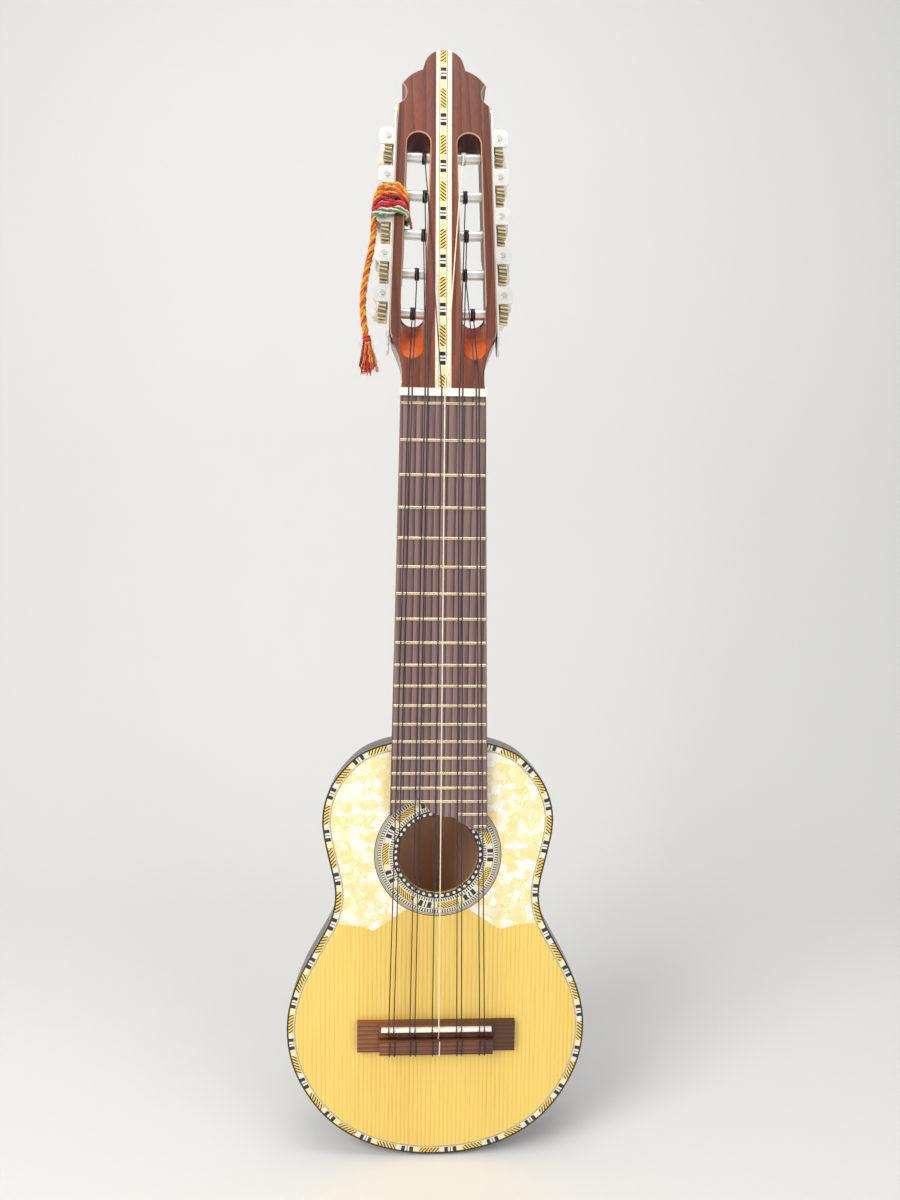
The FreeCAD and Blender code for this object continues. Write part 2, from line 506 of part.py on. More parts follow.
# ---------------------------------------------------------------- tuner plates with lugs
plate_parts = {}
for side in (-1, 1):
    nm = "Left" if side < 0 else "Right"
    top, bot = station(side, 1), station(side, 5)
    ph = D["plate_half"]
    b = doc.addObject("PartDesign::Body", "TunerPlate" + nm)
    b.Placement = bot
    span = 4 * D["post_pitch"] / C1
    lo, hi_ = -17.0, span + 23.0

    def tip(y, s_):
        return [Part.LineSegment(V(-ph + 1.6, y, 0), V(-ph + 1.6, y + s_ * 3.0, 0)),
                Part.Arc(V(-ph + 1.6, y + s_ * 3.0, 0), V(0, y + s_ * 8.4, 0), V(ph - 1.6, y + s_ * 3.0, 0)),
                Part.LineSegment(V(ph - 1.6, y + s_ * 3.0, 0), V(ph - 1.6, y, 0))]
    # plan drawn in the plate's own plane: sketch x = along the depth, sketch y = along the edge
    gl = [Part.LineSegment(V(-ph, lo, 0), V(-ph, hi_, 0)), Part.LineSegment(V(-ph, hi_, 0), V(-ph + 1.6, hi_, 0))] + tip(hi_, 1) + \
         [Part.LineSegment(V(ph - 1.6, hi_, 0), V(ph, hi_, 0)), Part.LineSegment(V(ph, hi_, 0), V(ph, lo, 0)), Part.LineSegment(V(ph, lo, 0), V(ph - 1.6, lo, 0))] + \
         [g2 for g2 in tip(lo, -1)] + [Part.LineSegment(V(-ph + 1.6, lo, 0), V(-ph, lo, 0))]
    s = b.newObject("Sketcher::SketchObject", "PlatePlan" + nm)
    s.AttachmentSupport = [(plane(b, "XZ_Plane"), "")]
    s.MapMode = "Deactivated"
    s.Placement = Placement(V(0, 0, 0), Rotation(V(0, 0, 1), V(0, 1, 0), V(-1, 0, 0), "ZXY"))
    s.addGeometry(gl, False)
    p = b.newObject("PartDesign::Pad", "PlatePad" + nm)
    p.Profile = s
    p.setExpression("Length", "dims.plate_thk")
    doc.recompute()
    if b.Shape.BoundBox.XLength and (bot.inverse().multVec(b.Shape.CenterOfMass).x < 0):
        p.Reversed = True
    # lugs, parallel to the headstock face
    for k in (1, 2, 3, 4, 5):
        yk = (5 - k) * D["post_pitch"] / C1 + D["centre_dist"]
        for zz, mm in ((ph - D["lug_thk"], "F"), (-ph, "B")):
            hh = D["lug_height"] / 2
            r = D["lug_reach"]
            q = 2.6
            y_lo, y_hi = yk - hh, yk + hh
            lg = [Part.LineSegment(V(0, y_lo, 0), V(r - q, y_lo, 0)), Part.Arc(V(r - q, y_lo, 0), V(r - q + q * 0.7071, y_lo + q - q * 0.7071, 0), V(r, y_lo + q, 0)),
                  Part.LineSegment(V(r, y_lo + q, 0), V(r, y_hi - q, 0)), Part.Arc(V(r, y_hi - q, 0), V(r - q + q * 0.7071, y_hi - q + q * 0.7071, 0), V(r - q, y_hi, 0)),
                  Part.LineSegment(V(r - q, y_hi, 0), V(0, y_hi, 0)), Part.LineSegment(V(0, y_hi, 0), V(0, y_lo, 0)),
                  Part.Circle(V(D["gear_mid"], yk, 0), V(0, 0, 1), D["shaft_rad"] + D["run_gap"])]
            ls = sketch(b, "Lug%s%d%s" % (nm, k, mm), lg, zz)
            pad(b, "LugPad%s%d%s" % (nm, k, mm), ls, "dims.lug_thk")
    # post holes and screw holes
    cs = [Part.Circle(V(0, (5 - k) * D["post_pitch"] / C1, 0), V(0, 0, 1), D["post_rad"] + D["run_gap"]) for k in (1, 2, 3, 4, 5)]
    ys_scr = [-12.4] + [i * D["post_pitch"] / C1 + 15.7 for i in range(4)] + [span + 19.2]
    cs += [Part.Circle(V(0, y, 0), V(0, 0, 1), 0.9) for y in ys_scr]
    s = b.newObject("Sketcher::SketchObject", "PlateHoles" + nm)
    s.MapMode = "Deactivated"
    s.Placement = Placement(V(0, 0, 0), Rotation(V(0, 0, 1), V(0, 1, 0), V(-1, 0, 0), "ZXY"))
    s.addGeometry(cs, False)
    doc.recompute()
    v0 = b.Shape.Volume
    p = b.newObject("PartDesign::Pocket", "PlateHolePocket" + nm)
    p.Profile = s
    p.Midplane = True
    p.Length = 4.0
    doc.recompute()
    print("plate holes", nm, round(v0 - b.Shape.Volume, 2), "of", round(v0, 1))
    plate_parts[side] = (b, bot, ys_scr)
tp = doc.addObject("Part::Compound", "TunerPlates")
tp.Links = [plate_parts[-1][0], plate_parts[1][0]]
note(tp, "tuner_plates")

screws = []
for side in (-1, 1):
    b, bot, ys_scr = plate_parts[side]
    for i, y in enumerate(ys_scr):
        # domed head with a cross-slot outside the plate, plain shank through it into the wood
        hd = Part.makeSphere(2.6, V(0, 0, 0)).common(Part.makeBox(3, 8, 8, V(1.55, -4, -4)))
        hd.translate(V(D["plate_thk"] - 1.55 + 0.02, 0, 0))
        hd = hd.cut(Part.makeBox(1, 0.5, 8, V(D["plate_thk"] + 0.65, -0.25, -4)))
        sh = Part.makeCylinder(0.85, 5.0, V(D["plate_thk"] + 0.1 - 5.0, 0, 0), V(1, 0, 0))
        one = hd.fuse(sh)
        one.translate(V(0, y, 0))
        one.Placement = bot.multiply(one.Placement)
        screws.append(one)
ps = doc.addObject("Part::Feature", "PlateScrews")
ps.Shape = Part.makeCompound(screws)
note(ps, "plate_screws")

# screw pilot holes in the headstock's side
pilots = []
for side in (-1, 1):
    b, bot, ys_scr = plate_parts[side]
    for i, y in enumerate(ys_scr):
        c = Part.makeCylinder(0.85, 6.2, V(-4.2, y, 0), V(1, 0, 0))
        c.Placement = bot.multiply(c.Placement)
        pilots.append(c)
pil = doc.addObject("Part::Feature", "ScrewPilots")
pil.Shape = Part.makeCompound(pilots)
tools.Shapes = ramps + [seat, inl, hole_set, pil]

# ---------------------------------------------------------------- worm gear pair
N = int(D["gear_teeth"])
RP = D["gear_pitch_rad"]
PITCH = 2 * math.pi * RP / N                       # axial pitch of the single-start worm
TW = math.atan(PITCH / (2 * math.pi * (D["centre_dist"] - RP)))     # lead angle
TWIST = math.tan(TW) / RP                          # turn of the tooth line per mm of gear thickness
HT, HR = 0.285, 0.80                               # half tooth widths at tip and root


def gear_wire(x, turn):
    pts = []
    for i in range(N):
        a = 2 * math.pi * i / N + turn
        for r, da in ((D["gear_root_rad"], -HR / D["gear_root_rad"]), (D["gear_tip_rad"], -HT / D["gear_tip_rad"]),
                      (D["gear_tip_rad"], HT / D["gear_tip_rad"]), (D["gear_root_rad"], HR / D["gear_root_rad"])):
            pts.append(V(x, r * math.cos(a + da), r * math.sin(a + da)))
    return Part.makePolygon(pts + [pts[0]])


gt = D["gear_thk"] / 2
toothed = Part.makeLoft([gear_wire(D["gear_mid"] - gt, -gt * TWIST), gear_wire(D["gear_mid"] + gt, gt * TWIST)], True, True)
toothed = toothed.cut(Part.makeCylinder(D["gear_bore_rad"], 20, V(-5, 0, 0), V(1, 0, 0)))
toothed = toothed.cut(Part.makeCylinder(3.9, 0.7, V(D["gear_mid"] + gt - 0.7, 0, 0), V(1, 0, 0)))
gs_head = Part.makeCylinder(2.7, 1.4, V(D["gear_mid"] + gt - 0.7, 0, 0), V(1, 0, 0)).cut(Part.makeBox(0.8, 0.7, 8, V(D["gear_mid"] + gt + 0.0, -0.35, -4)))
gs = gs_head.fuse(Part.makeCylinder(0.8, 3.5, V(D["gear_mid"] + gt - 0.7 - 3.5, 0, 0), V(1, 0, 0)))

prof = Part.makePolygon([V(0, r, z) for r, z in ((1.5, -0.93), (3.2, -HT), (3.2, HT), (1.5, 0.93), (1.5, -0.93))])
helix = Part.makeHelix(PITCH, 4 * PITCH, 2.0)
helix.rotate(V(0, 0, 0), V(0, 0, 1), 90)
sweep = Part.BRepOffsetAPI.MakePipeShell(Part.Wire(helix.Edges))
sweep.setFrenetMode(True)
sweep.add(prof)
sweep.build()
sweep.makeSolid()
thread = sweep.shape()
thread.translate(V(0, 0, -2 * PITCH))
core = Part.makeCylinder(D["worm_core_rad"], 12.2, V(0, 0, -6.1))
worm = core.fuse(thread)
print("worm", worm.isValid(), len(worm.Solids), round(worm.Volume, 2), "thread", round(thread.Volume, 2))


def worm_shape(back):
    """back = -1: the button is on local -z (right side), +1: on local +z (left side)"""
    zb = D["button_mid"] * back
    front = -back * (D["plate_half"] + 0.9)
    rear = zb + back * 1.0
    z0, z1 = min(front, rear), max(front, rear)
    sh = worm.fuse(Part.makeCylinder(D["shaft_rad"], z1 - z0, V(0, 0, z0)))
    # shoulder collar between the rear lug and the button
    zc_ = back * (D["plate_half"] + 0.25)
    sh = sh.fuse(Part.makeCylinder(2.5, 1.6, V(0, 0, min(zc_, zc_ + back * 1.6))))
    return sh


TURNS = {(-1, 1): 12, (-1, 2): 84, (-1, 3): 70, (-1, 4): 98, (-1, 5): 4, (1, 1): -5, (1, 2): 80, (1, 3): 102, (1, 4): 8, (1, 5): 88}
RATIO_NOTE = []
for side, k in STATIONS:
    tag = ("left_" if side < 0 else "right_") + str(k)
    pl = station(side, k)
    back = -1 if side > 0 else 1
    o = doc.addObject("Part::Feature", "Gear_" + tag)
    o.Shape = Part.makeCompound([toothed, gs])
    o.Placement = pl
    note(o, "gear_" + tag)
    o = doc.addObject("Part::Feature", "WormShaft_" + tag)
    o.Shape = worm_shape(back)
    o.Placement = pl.multiply(Placement(V(D["gear_mid"], D["centre_dist"], 0), Rotation()))
    note(o, "worm_shaft_" + tag)
    # button: a flat rounded pearl with a short neck, bored for the shaft
    b = doc.addObject("PartDesign::Body", "Button_" + tag)
    b.Placement = pl.multiply(Placement(V(D["gear_mid"], D["centre_dist"], back * D["button_mid"]), Rotation(V(0, 0, 1), TURNS[(side, k)])))
    hwid, hlen = D["button_wid"] / 2, D["button_len"] / 2
    s_ = -back
    bp = [(3.0, s_ * (hlen + 1.6)), (3.3, s_ * hlen), (5.6, s_ * (hlen - 1.9)), (7.25, s_ * 2.2), (hwid, -s_ * 1.2), (6.5, -s_ * 4.9), (3.6, -s_ * 6.9), (0, -s_ * (hlen))]
    curve = Part.BSplineCurve()
    curve.interpolate([V(x, y, 0) for x, y in bp + [(-x, y) for x, y in reversed(bp[:-1])]])
    s = b.newObject("Sketcher::SketchObject", "ButtonOutline_" + tag)
    s.AttachmentSupport = [(plane(b, "XZ_Plane"), "")]
    s.MapMode = "FlatFace"
    s.addGeometry([curve, Part.LineSegment(V(-3.0, s_ * (hlen + 1.6), 0), V(3.0, s_ * (hlen + 1.6), 0))], False)
    p = pad(b, "ButtonPad_" + tag, s, "dims.button_thk", sym=True)
    doc.recompute()
    edges = ["Edge%d" % (i + 1) for i, e in enumerate(p.Shape.Edges) if e.Length > 20]
    f = b.newObject("PartDesign::Fillet", "ButtonRound_" + tag)
    f.Base = (p, edges)
    f.Radius = 2.4
    doc.recompute()
    if not f.Shape.isValid() or f.State and "Invalid" in f.State:
        f.Radius = 1.5
        doc.recompute()
    hs = sketch(b, "ButtonBore_" + tag, circle(0, 0, D["shaft_rad"]), 0.0)
    hp = b.newObject("PartDesign::Pocket", "ButtonBorePocket_" + tag)
    hp.Profile = hs
    hs.AttachmentOffset = Placement(V(0, 0, back * 1.0), Rotation())
    hp.Length = 12
    hp.Reversed = back > 0 and False
    doc.recompute()
    v1 = b.Shape.Volume
    if (back > 0):
        hp.Reversed = False
    else:
        hp.Reversed = True
    doc.recompute()
    note(b, "button_" + tag)
    # string post: body through the rail and slot, shouldered down where the gear sits, with the string wound on it
    post = Part.makeCylinder(D["post_rad"], D["post_tail"] + 2.0, V(-D["post_tail"], 0, 0), V(1, 0, 0))
    post = post.fuse(Part.makeCylinder(D["gear_bore_rad"], D["gear_mid"] + gt - 0.7 - 2.0, V(2.0, 0, 0), V(1, 0, 0)))
    post = post.cut(Part.makeCylinder(0.8, 3.5, V(D["gear_mid"] + gt - 0.7 - 3.5, 0, 0), V(1, 0, 0)))
    WX = {(-1, 1): -11.4, (-1, 2): -11.0, (-1, 3): -11.6, (-1, 4): -15.3, (-1, 5): -17.8, (1, 1): 11.9, (1, 2): 13.0, (1, 3): 13.7, (1, 4): 12.8, (1, 5): 17.4}[(side, k)]
    u = D["post_first"] + (5 - k) * D["post_pitch"]
    wc = -(edge_x(u) - abs(WX)) / C1              # winding centre along the post
    turns = 4
    dia = 2 * D["string_rad"]
    r0 = D["post_rad"]
    x0 = wc - turns * dia / 2
    ed = [Part.LineSegment(V(x0, r0, 0), V(x0, r0 + dia * 0.5, 0)).toShape()]
    for q in range(turns):
        ed.append(Part.Arc(V(x0 + q * dia, r0 + dia * 0.5, 0), V(x0 + (q + 0.5) * dia, r0 + dia, 0), V(x0 + (q + 1) * dia, r0 + dia * 0.5, 0)).toShape())
    x9 = x0 + turns * dia
    ed += [Part.LineSegment(V(x9, r0 + dia * 0.5, 0), V(x9, r0, 0)).toShape(), Part.LineSegment(V(x9, r0, 0), V(x0, r0, 0)).toShape()]
    wind = Part.Face(Part.Wire(ed)).revolve(V(0, 0, 0), V(1, 0, 0), 360)
    o = doc.addObject("Part::Feature", "StringPost_" + tag)
    o.Shape = Part.makeCompound([post, wind])
    o.Placement = pl
    note(o, "string_post_" + tag)


# ---------------------------------------------------------------- strings and yarn
def tube(points, rad, bends=None, report=None):
    """straight runs joined by tangent arcs"""
    n = len(points)
    cuts = []
    for i in range(1, n - 1):
        a, b_, c = points[i - 1], points[i], points[i + 1]
        d1, d2 = (b_ - a), (c - b_)
        l1, l2 = d1.Length, d2.Length
        d1.normalize()
        d2.normalize()
        ang = d1.getAngle(d2)
        want = 0.45 * min(l1, l2)
        R = want / math.tan(ang / 2)
        if bends is not None and bends.get(i) is not None:
            R = min(R, bends[i])
            want = R * math.tan(ang / 2)
        if report is not None:
            report.append((round(R, 1), round(math.degrees(ang), 1), round(l1, 1)))
        cuts.append((b_ - d1 * want, b_, b_ + d2 * want, d1, d2, R, ang))
    edges, cur, length = [], points[0], 0.0
    for p0, pm, p1, d1, d2, R, ang in cuts:
        if (p0 - cur).Length > 1e-6:
            edges.append(Part.LineSegment(cur, p0).toShape())
        bis = (d2 - d1)
        bis.normalize()
        mid = pm + bis * (R / math.cos(ang / 2) - R)
        edges.append(Part.Arc(p0, mid, p1).toShape())
        cur = p1
    edges.append(Part.LineSegment(cur, points[-1]).toShape())
    w = Part.Wire(edges)
    d0 = points[1] - points[0]
    d0.normalize()
    prof = Part.Wire([Part.Circle(points[0], d0, rad).toShape()])
    sh = w.makePipeShell([prof], True, False)
    return sh, w.Length


def plate_pt(x, z, w):
    return V(x, -w, z)


def head_pt(x, u, w):
    return HEAD.multVec(V(x, u, w))


SR = D["string_rad"]
post_of = [(-1, 5), (-1, 4), (-1, 3), (-1, 2), (-1, 1), (1, 1), (1, 2), (1, 3), (1, 4), (1, 5)]
WXS = {(-1, 1): -11.4, (-1, 2): -11.0, (-1, 3): -11.6, (-1, 4): -15.3, (-1, 5): -17.8, (1, 1): 11.9, (1, 2): 13.0, (1, 3): 13.7, (1, 4): 12.8, (1, 5): 17.4}
strings = []
for i in range(10):
    side, k = post_of[i]
    u = D["post_first"] + (5 - k) * D["post_pitch"]
    wt = D["saddle_top"] + SR + 0.18
    nt = D["nut_height"] - 0.36 + SR + 0.06
    zb = zc - hw - 0.5
    tie_top = D["bridge_mid_thk"] + SR + 0.05
    xs, xn = SAD_X[i], NUT_X[i]
    pts = [plate_pt(xs + 0.75, tie_front - 0.3, tie_top + 0.1), plate_pt(xs + 0.5, zb - SR - 0.25, tie_top), plate_pt(xs, zb - SR - 0.25, TIE_W),
           plate_pt(xs, tie_front + 1.0, TIE_W), plate_pt(xs, SZ - 0.65, wt), plate_pt(xn, -0.45, nt)]
    bends = {1: 0.55, 2: 0.55, 3: 0.8, 4: 1.6, 5: 3.0}
    ut = u
    endw = -D["post_depth"] + D["post_rad"] + 2 * SR + SR + 0.12
    e = head_pt(WXS[(side, k)], ut - 0.4, endw)
    if k == 1:
        # the two middle strings rest on the inner edge of their slot on the way to the crest-end posts
        xin = 8.05 + 3.2 * (145 - 112.0) / 110.0
        pts.append(head_pt(side * (xin - 0.1), 112.0, SR + 0.12))
        bends[6] = 6.0
    if side < 0 and k in (2, 3):
        # the next two on the left lie over the head until they clear the inner edge of the slot
        uw = {2: 86.0, 3: 60.0}[k]
        pts.append(head_pt(side * (8.05 + 3.2 * (145 - uw) / 110.0 + SR + 0.2), uw, SR + 0.12))
        bends[6] = 6.0
    pts.append(e)
    sh, ln = tube(pts, SR, bends)
    strings.append(sh)
    if not sh.isValid() or len(sh.Solids) != 1:
        print("string", i, "not a clean solid", sh.ShapeType, sh.isValid())
    if abs(sh.Volume / (math.pi * SR * SR * ln) - 1) > 0.02:
        print("string", i, "volume ratio", sh.Volume / (math.pi * SR * SR * ln))
st = doc.addObject("Part::Feature", "Strings")
st.Shape = Part.makeCompound([x.Solids[0] for x in strings])
note(st, "strings")

# yarn: wrapped round the left rail between the second and third posts, one long end hanging outside the tuners
YR = D["yarn_dia"] / 2
YARN = [V(-40.5, 25.0, 103.0), V(-40.6, 24.6, 94.0), V(-42.1, 24.0, 83.2), V(-44.9, 23.3, 70.5), V(-46.9, 22.6, 57.0), V(-47.0, 22.1, 44.5), V(-44.9, 21.8, 33.0)]
rep = []
ysh, yl = tube(YARN, YR, None, rep)
print("yarn length %.1f radii %s volume ratio %.3f" % (yl, rep, ysh.Volume / (math.pi * YR * YR * yl)))
yc = doc.addObject("Part::Feature", "YarnCord")
yc.Shape = ysh
note(yc, "yarn_cord")
eu = 109.0
xo = edge_x(eu)


def hb_box(x0, x1, u0, u1, w0, w1):
    bx = Part.makeBox(x1 - x0, u1 - u0, w1 - w0, V(x0, u0, w0))
    bx.Placement = HEAD.multiply(bx.Placement)
    return bx


wrap = hb_box(-xo - 11.2, -xo + 9.4, 103.5, 124.5, 0.35, 4.2)
wrap = wrap.fuse(hb_box(-xo + 6.95, -xo + 9.4, 102.5, 115.5, -23.4, 0.4))
wrap = wrap.fuse(hb_box(-xo - 11.2, -xo + 9.4, 110.9, 113.4, -23.4, -20.3))
wrap = wrap.fuse(hb_box(-xo - 13.6, -xo - 10.2, 104.2, 113.4, -23.4, 2.6))
wr = doc.addObject("Part::Feature", "YarnWrap")
wr.Shape = wrap.removeSplitter()
note(wr, "yarn_wrap")
t0 = YARN[-1]
tas = Part.makeCone(2.4, 7.4, 23.5, t0, V(0.10, -0.02, -1))
ta = doc.addObject("Part::Feature", "YarnTassel")
ta.Shape = tas
note(ta, "yarn_tassel")

# ---------------------------------------------------------------- bevel on the headstock's front edges
ch = hb.newObject("PartDesign::Chamfer", "HeadBevel")
ch.setExpression("Size", "dims.edge_bevel")
choices = [face_edges,
           [e for e in face_edges if not (e[1] > 194 and e[2] < 201)],
           [e for e in face_edges if not (e[1] > 173)],
           [e for e in face_edges if not (e[1] > 173) and e[1] > 1],
           [e for e in face_edges if e[1] > 1 and not (e[1] > 155 and e[3] > 20)],
           [e for e in face_edges if e[3] < 26 and e[2] < 158 and e[1] > 40],
           [e for e in face_edges if e[3] > 26 and 40 < e[1] < 158 and e[2] < 175]]
for n_, pick in enumerate(choices):
    ch.Base = (pocketed, [e[0] for e in pick])
    doc.recompute()
    print("bevel try", n_, len(pick), ch.State)
    if "Invalid" not in ch.State and not ch.Shape.isNull() and ch.Shape.isValid():
        break
else:
    hb.removeObject(ch)
    doc.removeObject("HeadBevel")
    hb.Tip = pocketed
doc.recompute()

# ---------------------------------------------------------------- checks and export
bad = []
for o in doc.Objects:
    if "Invalid" in o.State or "Error" in o.State:
        bad.append(o.Name + " " + str(o.State))
for o in nodes:
    if o.Shape.isNull() or not o.Shape.isValid():
        bad.append(o.Label + " shape")
if bad:
    print("PROBLEMS", bad)
    raise SystemExit("model has failed features: %s" % bad)
os.makedirs("parts", exist_ok=True)
for o in nodes:
    o.Shape.exportStep("parts/%s.step" % o.Label)
    bb = o.Shape.BoundBox
    print("%-20s solids %2d faces %4d vol %9.1f  x %.1f..%.1f y %.1f..%.1f z %.1f..%.1f" % (
        o.Label, len(o.Shape.Solids), len(o.Shape.Faces), o.Shape.Volume, bb.XMin, bb.XMax, bb.YMin, bb.YMax, bb.ZMin, bb.ZMax))
print(len(nodes), "nodes")
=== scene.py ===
# Charango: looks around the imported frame. Metres, row frame: +Z up the neck, -Y out of the soundboard.
import bpy, bmesh, math, random
import numpy as np
from mathutils import Vector, Matrix


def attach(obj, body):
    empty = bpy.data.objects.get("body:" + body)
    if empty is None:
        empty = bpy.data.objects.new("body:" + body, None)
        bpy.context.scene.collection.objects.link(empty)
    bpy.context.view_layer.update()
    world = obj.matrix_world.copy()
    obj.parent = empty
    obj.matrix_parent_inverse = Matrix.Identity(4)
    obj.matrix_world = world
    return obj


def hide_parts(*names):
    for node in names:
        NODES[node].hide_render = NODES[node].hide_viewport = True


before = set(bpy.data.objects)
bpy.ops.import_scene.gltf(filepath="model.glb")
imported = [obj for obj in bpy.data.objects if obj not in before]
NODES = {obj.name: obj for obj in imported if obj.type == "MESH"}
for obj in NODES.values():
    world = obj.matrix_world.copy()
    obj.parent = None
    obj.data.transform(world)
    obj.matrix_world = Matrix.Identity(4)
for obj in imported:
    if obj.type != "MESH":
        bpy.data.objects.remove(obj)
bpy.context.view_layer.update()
scene = bpy.context.scene
MM = 0.001

# ------------------------------------------------------------------ camera
def look(cx, cy, cz, pitch, roll, yaw, f_px):
    fwd = Vector((0, math.cos(pitch), -math.sin(pitch)))
    up = Vector((0, math.sin(pitch), math.cos(pitch)))
    right = Vector((1, 0, 0))
    rz = Matrix.Rotation(yaw, 3, "Z")
    fwd, up, right = rz @ fwd, rz @ up, rz @ right
    r2 = math.cos(roll) * right + math.sin(roll) * up
    u2 = -math.sin(roll) * right + math.cos(roll) * up
    cam = bpy.data.cameras.new("Camera")
    cam.sensor_fit = "AUTO"
    cam.sensor_width = 36.0
    cam.lens = f_px / 1200.0 * 36.0
    cam.clip_start, cam.clip_end = 0.01, 50
    ob = bpy.data.objects.new("Camera", cam)
    m = Matrix((r2, u2, -fwd)).transposed().to_4x4()
    m.translation = Vector((cx, cy, cz))
    ob.matrix_world = m
    scene.collection.objects.link(ob)
    scene.camera = ob
    return ob


look(-0.018517, -0.523499, -0.072429, 0.0917, 0.0118, -0.0457, 901.0)


# ------------------------------------------------------------------ node helpers
class NT:
    def __init__(self, name):
        self.mat = bpy.data.materials.new(name)
        self.mat.use_nodes = True
        self.t = self.mat.node_tree
        self.b = self.t.nodes["Principled BSDF"]
        self.co = None

    def n(self, kind, **kw):
        x = self.t.nodes.new(kind)
        for k, v in kw.items():
            setattr(x, k, v)
        return x

    def link(self, a, b):
        self.t.links.new(a, b)

    def coord(self):
        if self.co is None:
            self.co = self.n("ShaderNodeTexCoord").outputs["Object"]
        return self.co

    def mapped(self, scale, loc=(0, 0, 0), rot=(0, 0, 0), src=None):
        m = self.n("ShaderNodeMapping")
        m.inputs["Scale"].default_value = scale
        m.inputs["Location"].default_value = loc
        m.inputs["Rotation"].default_value = rot
        self.link(src or self.coord(), m.inputs["Vector"])
        return m.outputs["Vector"]

    def noise(self, vec, scale=1.0, detail=4.0, rough=0.55, dist=0.0):
        x = self.n("ShaderNodeTexNoise")
        x.inputs["Scale"].default_value = scale
        x.inputs["Detail"].default_value = detail
        x.inputs["Roughness"].default_value = rough
        x.inputs["Distortion"].default_value = dist
        self.link(vec, x.inputs["Vector"])
        return x.outputs["Fac"]

    def math(self, op, a, b=None, c=None, clamp=False):
        x = self.n("ShaderNodeMath", operation=op)
        x.use_clamp = clamp
        for i, v in enumerate((a, b, c)):
            if v is None:
                continue
            if isinstance(v, (int, float)):
                x.inputs[i].default_value = v
            else:
                self.link(v, x.inputs[i])
        return x.outputs[0]

    def ramp(self, fac, stops, interp="LINEAR"):
        x = self.n("ShaderNodeValToRGB")
        x.color_ramp.interpolation = interp
        el = x.color_ramp.elements
        while len(el) > 1:
            el.remove(el[-1])
        el[0].position = stops[0][0]
        el[0].color = (*stops[0][1], 1)
        for p, c in stops[1:]:
            e = el.new(p)
            e.color = (*c, 1)
        self.link(fac, x.inputs["Fac"])
        return x.outputs["Color"]

    def mix(self, fac, a, b, mode="MIX"):
        x = self.n("ShaderNodeMix", data_type="RGBA", blend_type=mode)
        for sock, v in ((x.inputs[0], fac), (x.inputs[6], a), (x.inputs[7], b)):
            if isinstance(v, (int, float)):
                sock.default_value = v
            elif isinstance(v, tuple):
                sock.default_value = (*v, 1)
            else:
                self.link(v, sock)
        return x.outputs[2]

    def sep(self, vec=None):
        x = self.n("ShaderNodeSeparateXYZ")
        self.link(vec or self.coord(), x.inputs[0])
        return x.outputs

    def comb(self, x_, y_, z_):
        x = self.n("ShaderNodeCombineXYZ")
        for i, v in enumerate((x_, y_, z_)):
            if isinstance(v, (int, float)):
                x.inputs[i].default_value = v
            else:
                self.link(v, x.inputs[i])
        return x.outputs[0]

    def bump(self, height, strength=0.2, dist=0.0002):
        x = self.n("ShaderNodeBump")
        x.inputs["Strength"].default_value = strength
        x.inputs["Distance"].default_value = dist
        self.link(height, x.inputs["Height"])
        self.link(x.outputs["Normal"], self.b.inputs["Normal"])

    def set(self, **kw):
        for k, v in kw.items():
            s = self.b.inputs[k.replace("_", " ")]
            if isinstance(v, (int, float, tuple)):
                s.default_value = (*v, 1) if isinstance(v, tuple) and len(v) == 3 and s.type == "RGBA" else v
            else:
                self.link(v, s)
        return self

    def rough(self, fac, lo, hi):
        x = self.n("ShaderNodeMapRange")
        x.inputs["To Min"].default_value = lo
        x.inputs["To Max"].default_value = hi
        self.link(fac, x.inputs["Value"])
        self.link(x.outputs["Result"], self.b.inputs["Roughness"])


def srgb(r, g, b):
    f = lambda c: (c / 255 / 12.92) if c / 255 <= 0.04045 else ((c / 255 + 0.055) / 1.055) ** 2.4
    return (f(r), f(g), f(b))


# ------------------------------------------------------------------ materials
def wood(name, cols, period, wander=0.5, pores=0.35, coat=0.6, rough=(0.25, 0.4), grain_axis="Z", ray=0.25, blotch=0.25):
    """Straight-grained wood: growth lines across X, long fibres along the grain axis, blotches and fine pores."""
    m = NT(name)
    s = {"Z": (1, 1, 0.035), "X": (0.035, 1, 1)}[grain_axis]
    v = m.mapped(s)
    warp = m.noise(v, 14.0, 3.0, 0.5)
    x, y, z = m.sep(v)
    a = (x if grain_axis == "Z" else z)
    phase = m.math("MULTIPLY_ADD", a, 1.0 / period, m.math("MULTIPLY", warp, wander * 6.0))
    saw = m.math("FRACT", phase)
    line = m.math("POWER", saw, 2.2)
    fine = m.noise(m.mapped(tuple(900.0 * k for k in s)), 1.0, 3.0, 0.6)
    big = m.noise(m.mapped(tuple(22.0 * k for k in (s[0], s[1], s[2] * 3))), 1.0, 3.0, 0.5)
    f = m.math("ADD", m.math("MULTIPLY", line, ray), m.math("ADD", m.math("MULTIPLY", fine, 0.45), m.math("MULTIPLY", big, blotch)))
    col = m.ramp(f, cols)
    pore = m.noise(m.mapped(tuple(2600.0 * k for k in (s[0], s[1], s[2] * 1.3))), 1.0, 1.0, 0.4)
    pm = m.ramp(pore, [(0.0, (0.55, 0.5, 0.48)), (0.38, (1, 1, 1))])
    col2 = m.mix(pores, col, pm, "MULTIPLY")
    m.link(col2, m.b.inputs["Base Color"])
    m.rough(fine, *rough)
    m.bump(m.math("ADD", fine, m.math("MULTIPLY", pore, 0.5)), 0.12, 0.00012)
    m.set(Coat_Weight=coat, Coat_Roughness=0.12, Specular_IOR_Level=0.45)
    return m


def assign(node, nt):
    o = NODES[node]
    if len(o.material_slots) == 0:
        o.data.materials.append(nt.mat)
    for sl in o.material_slots:
        sl.link = "OBJECT"
        sl.material = nt.mat


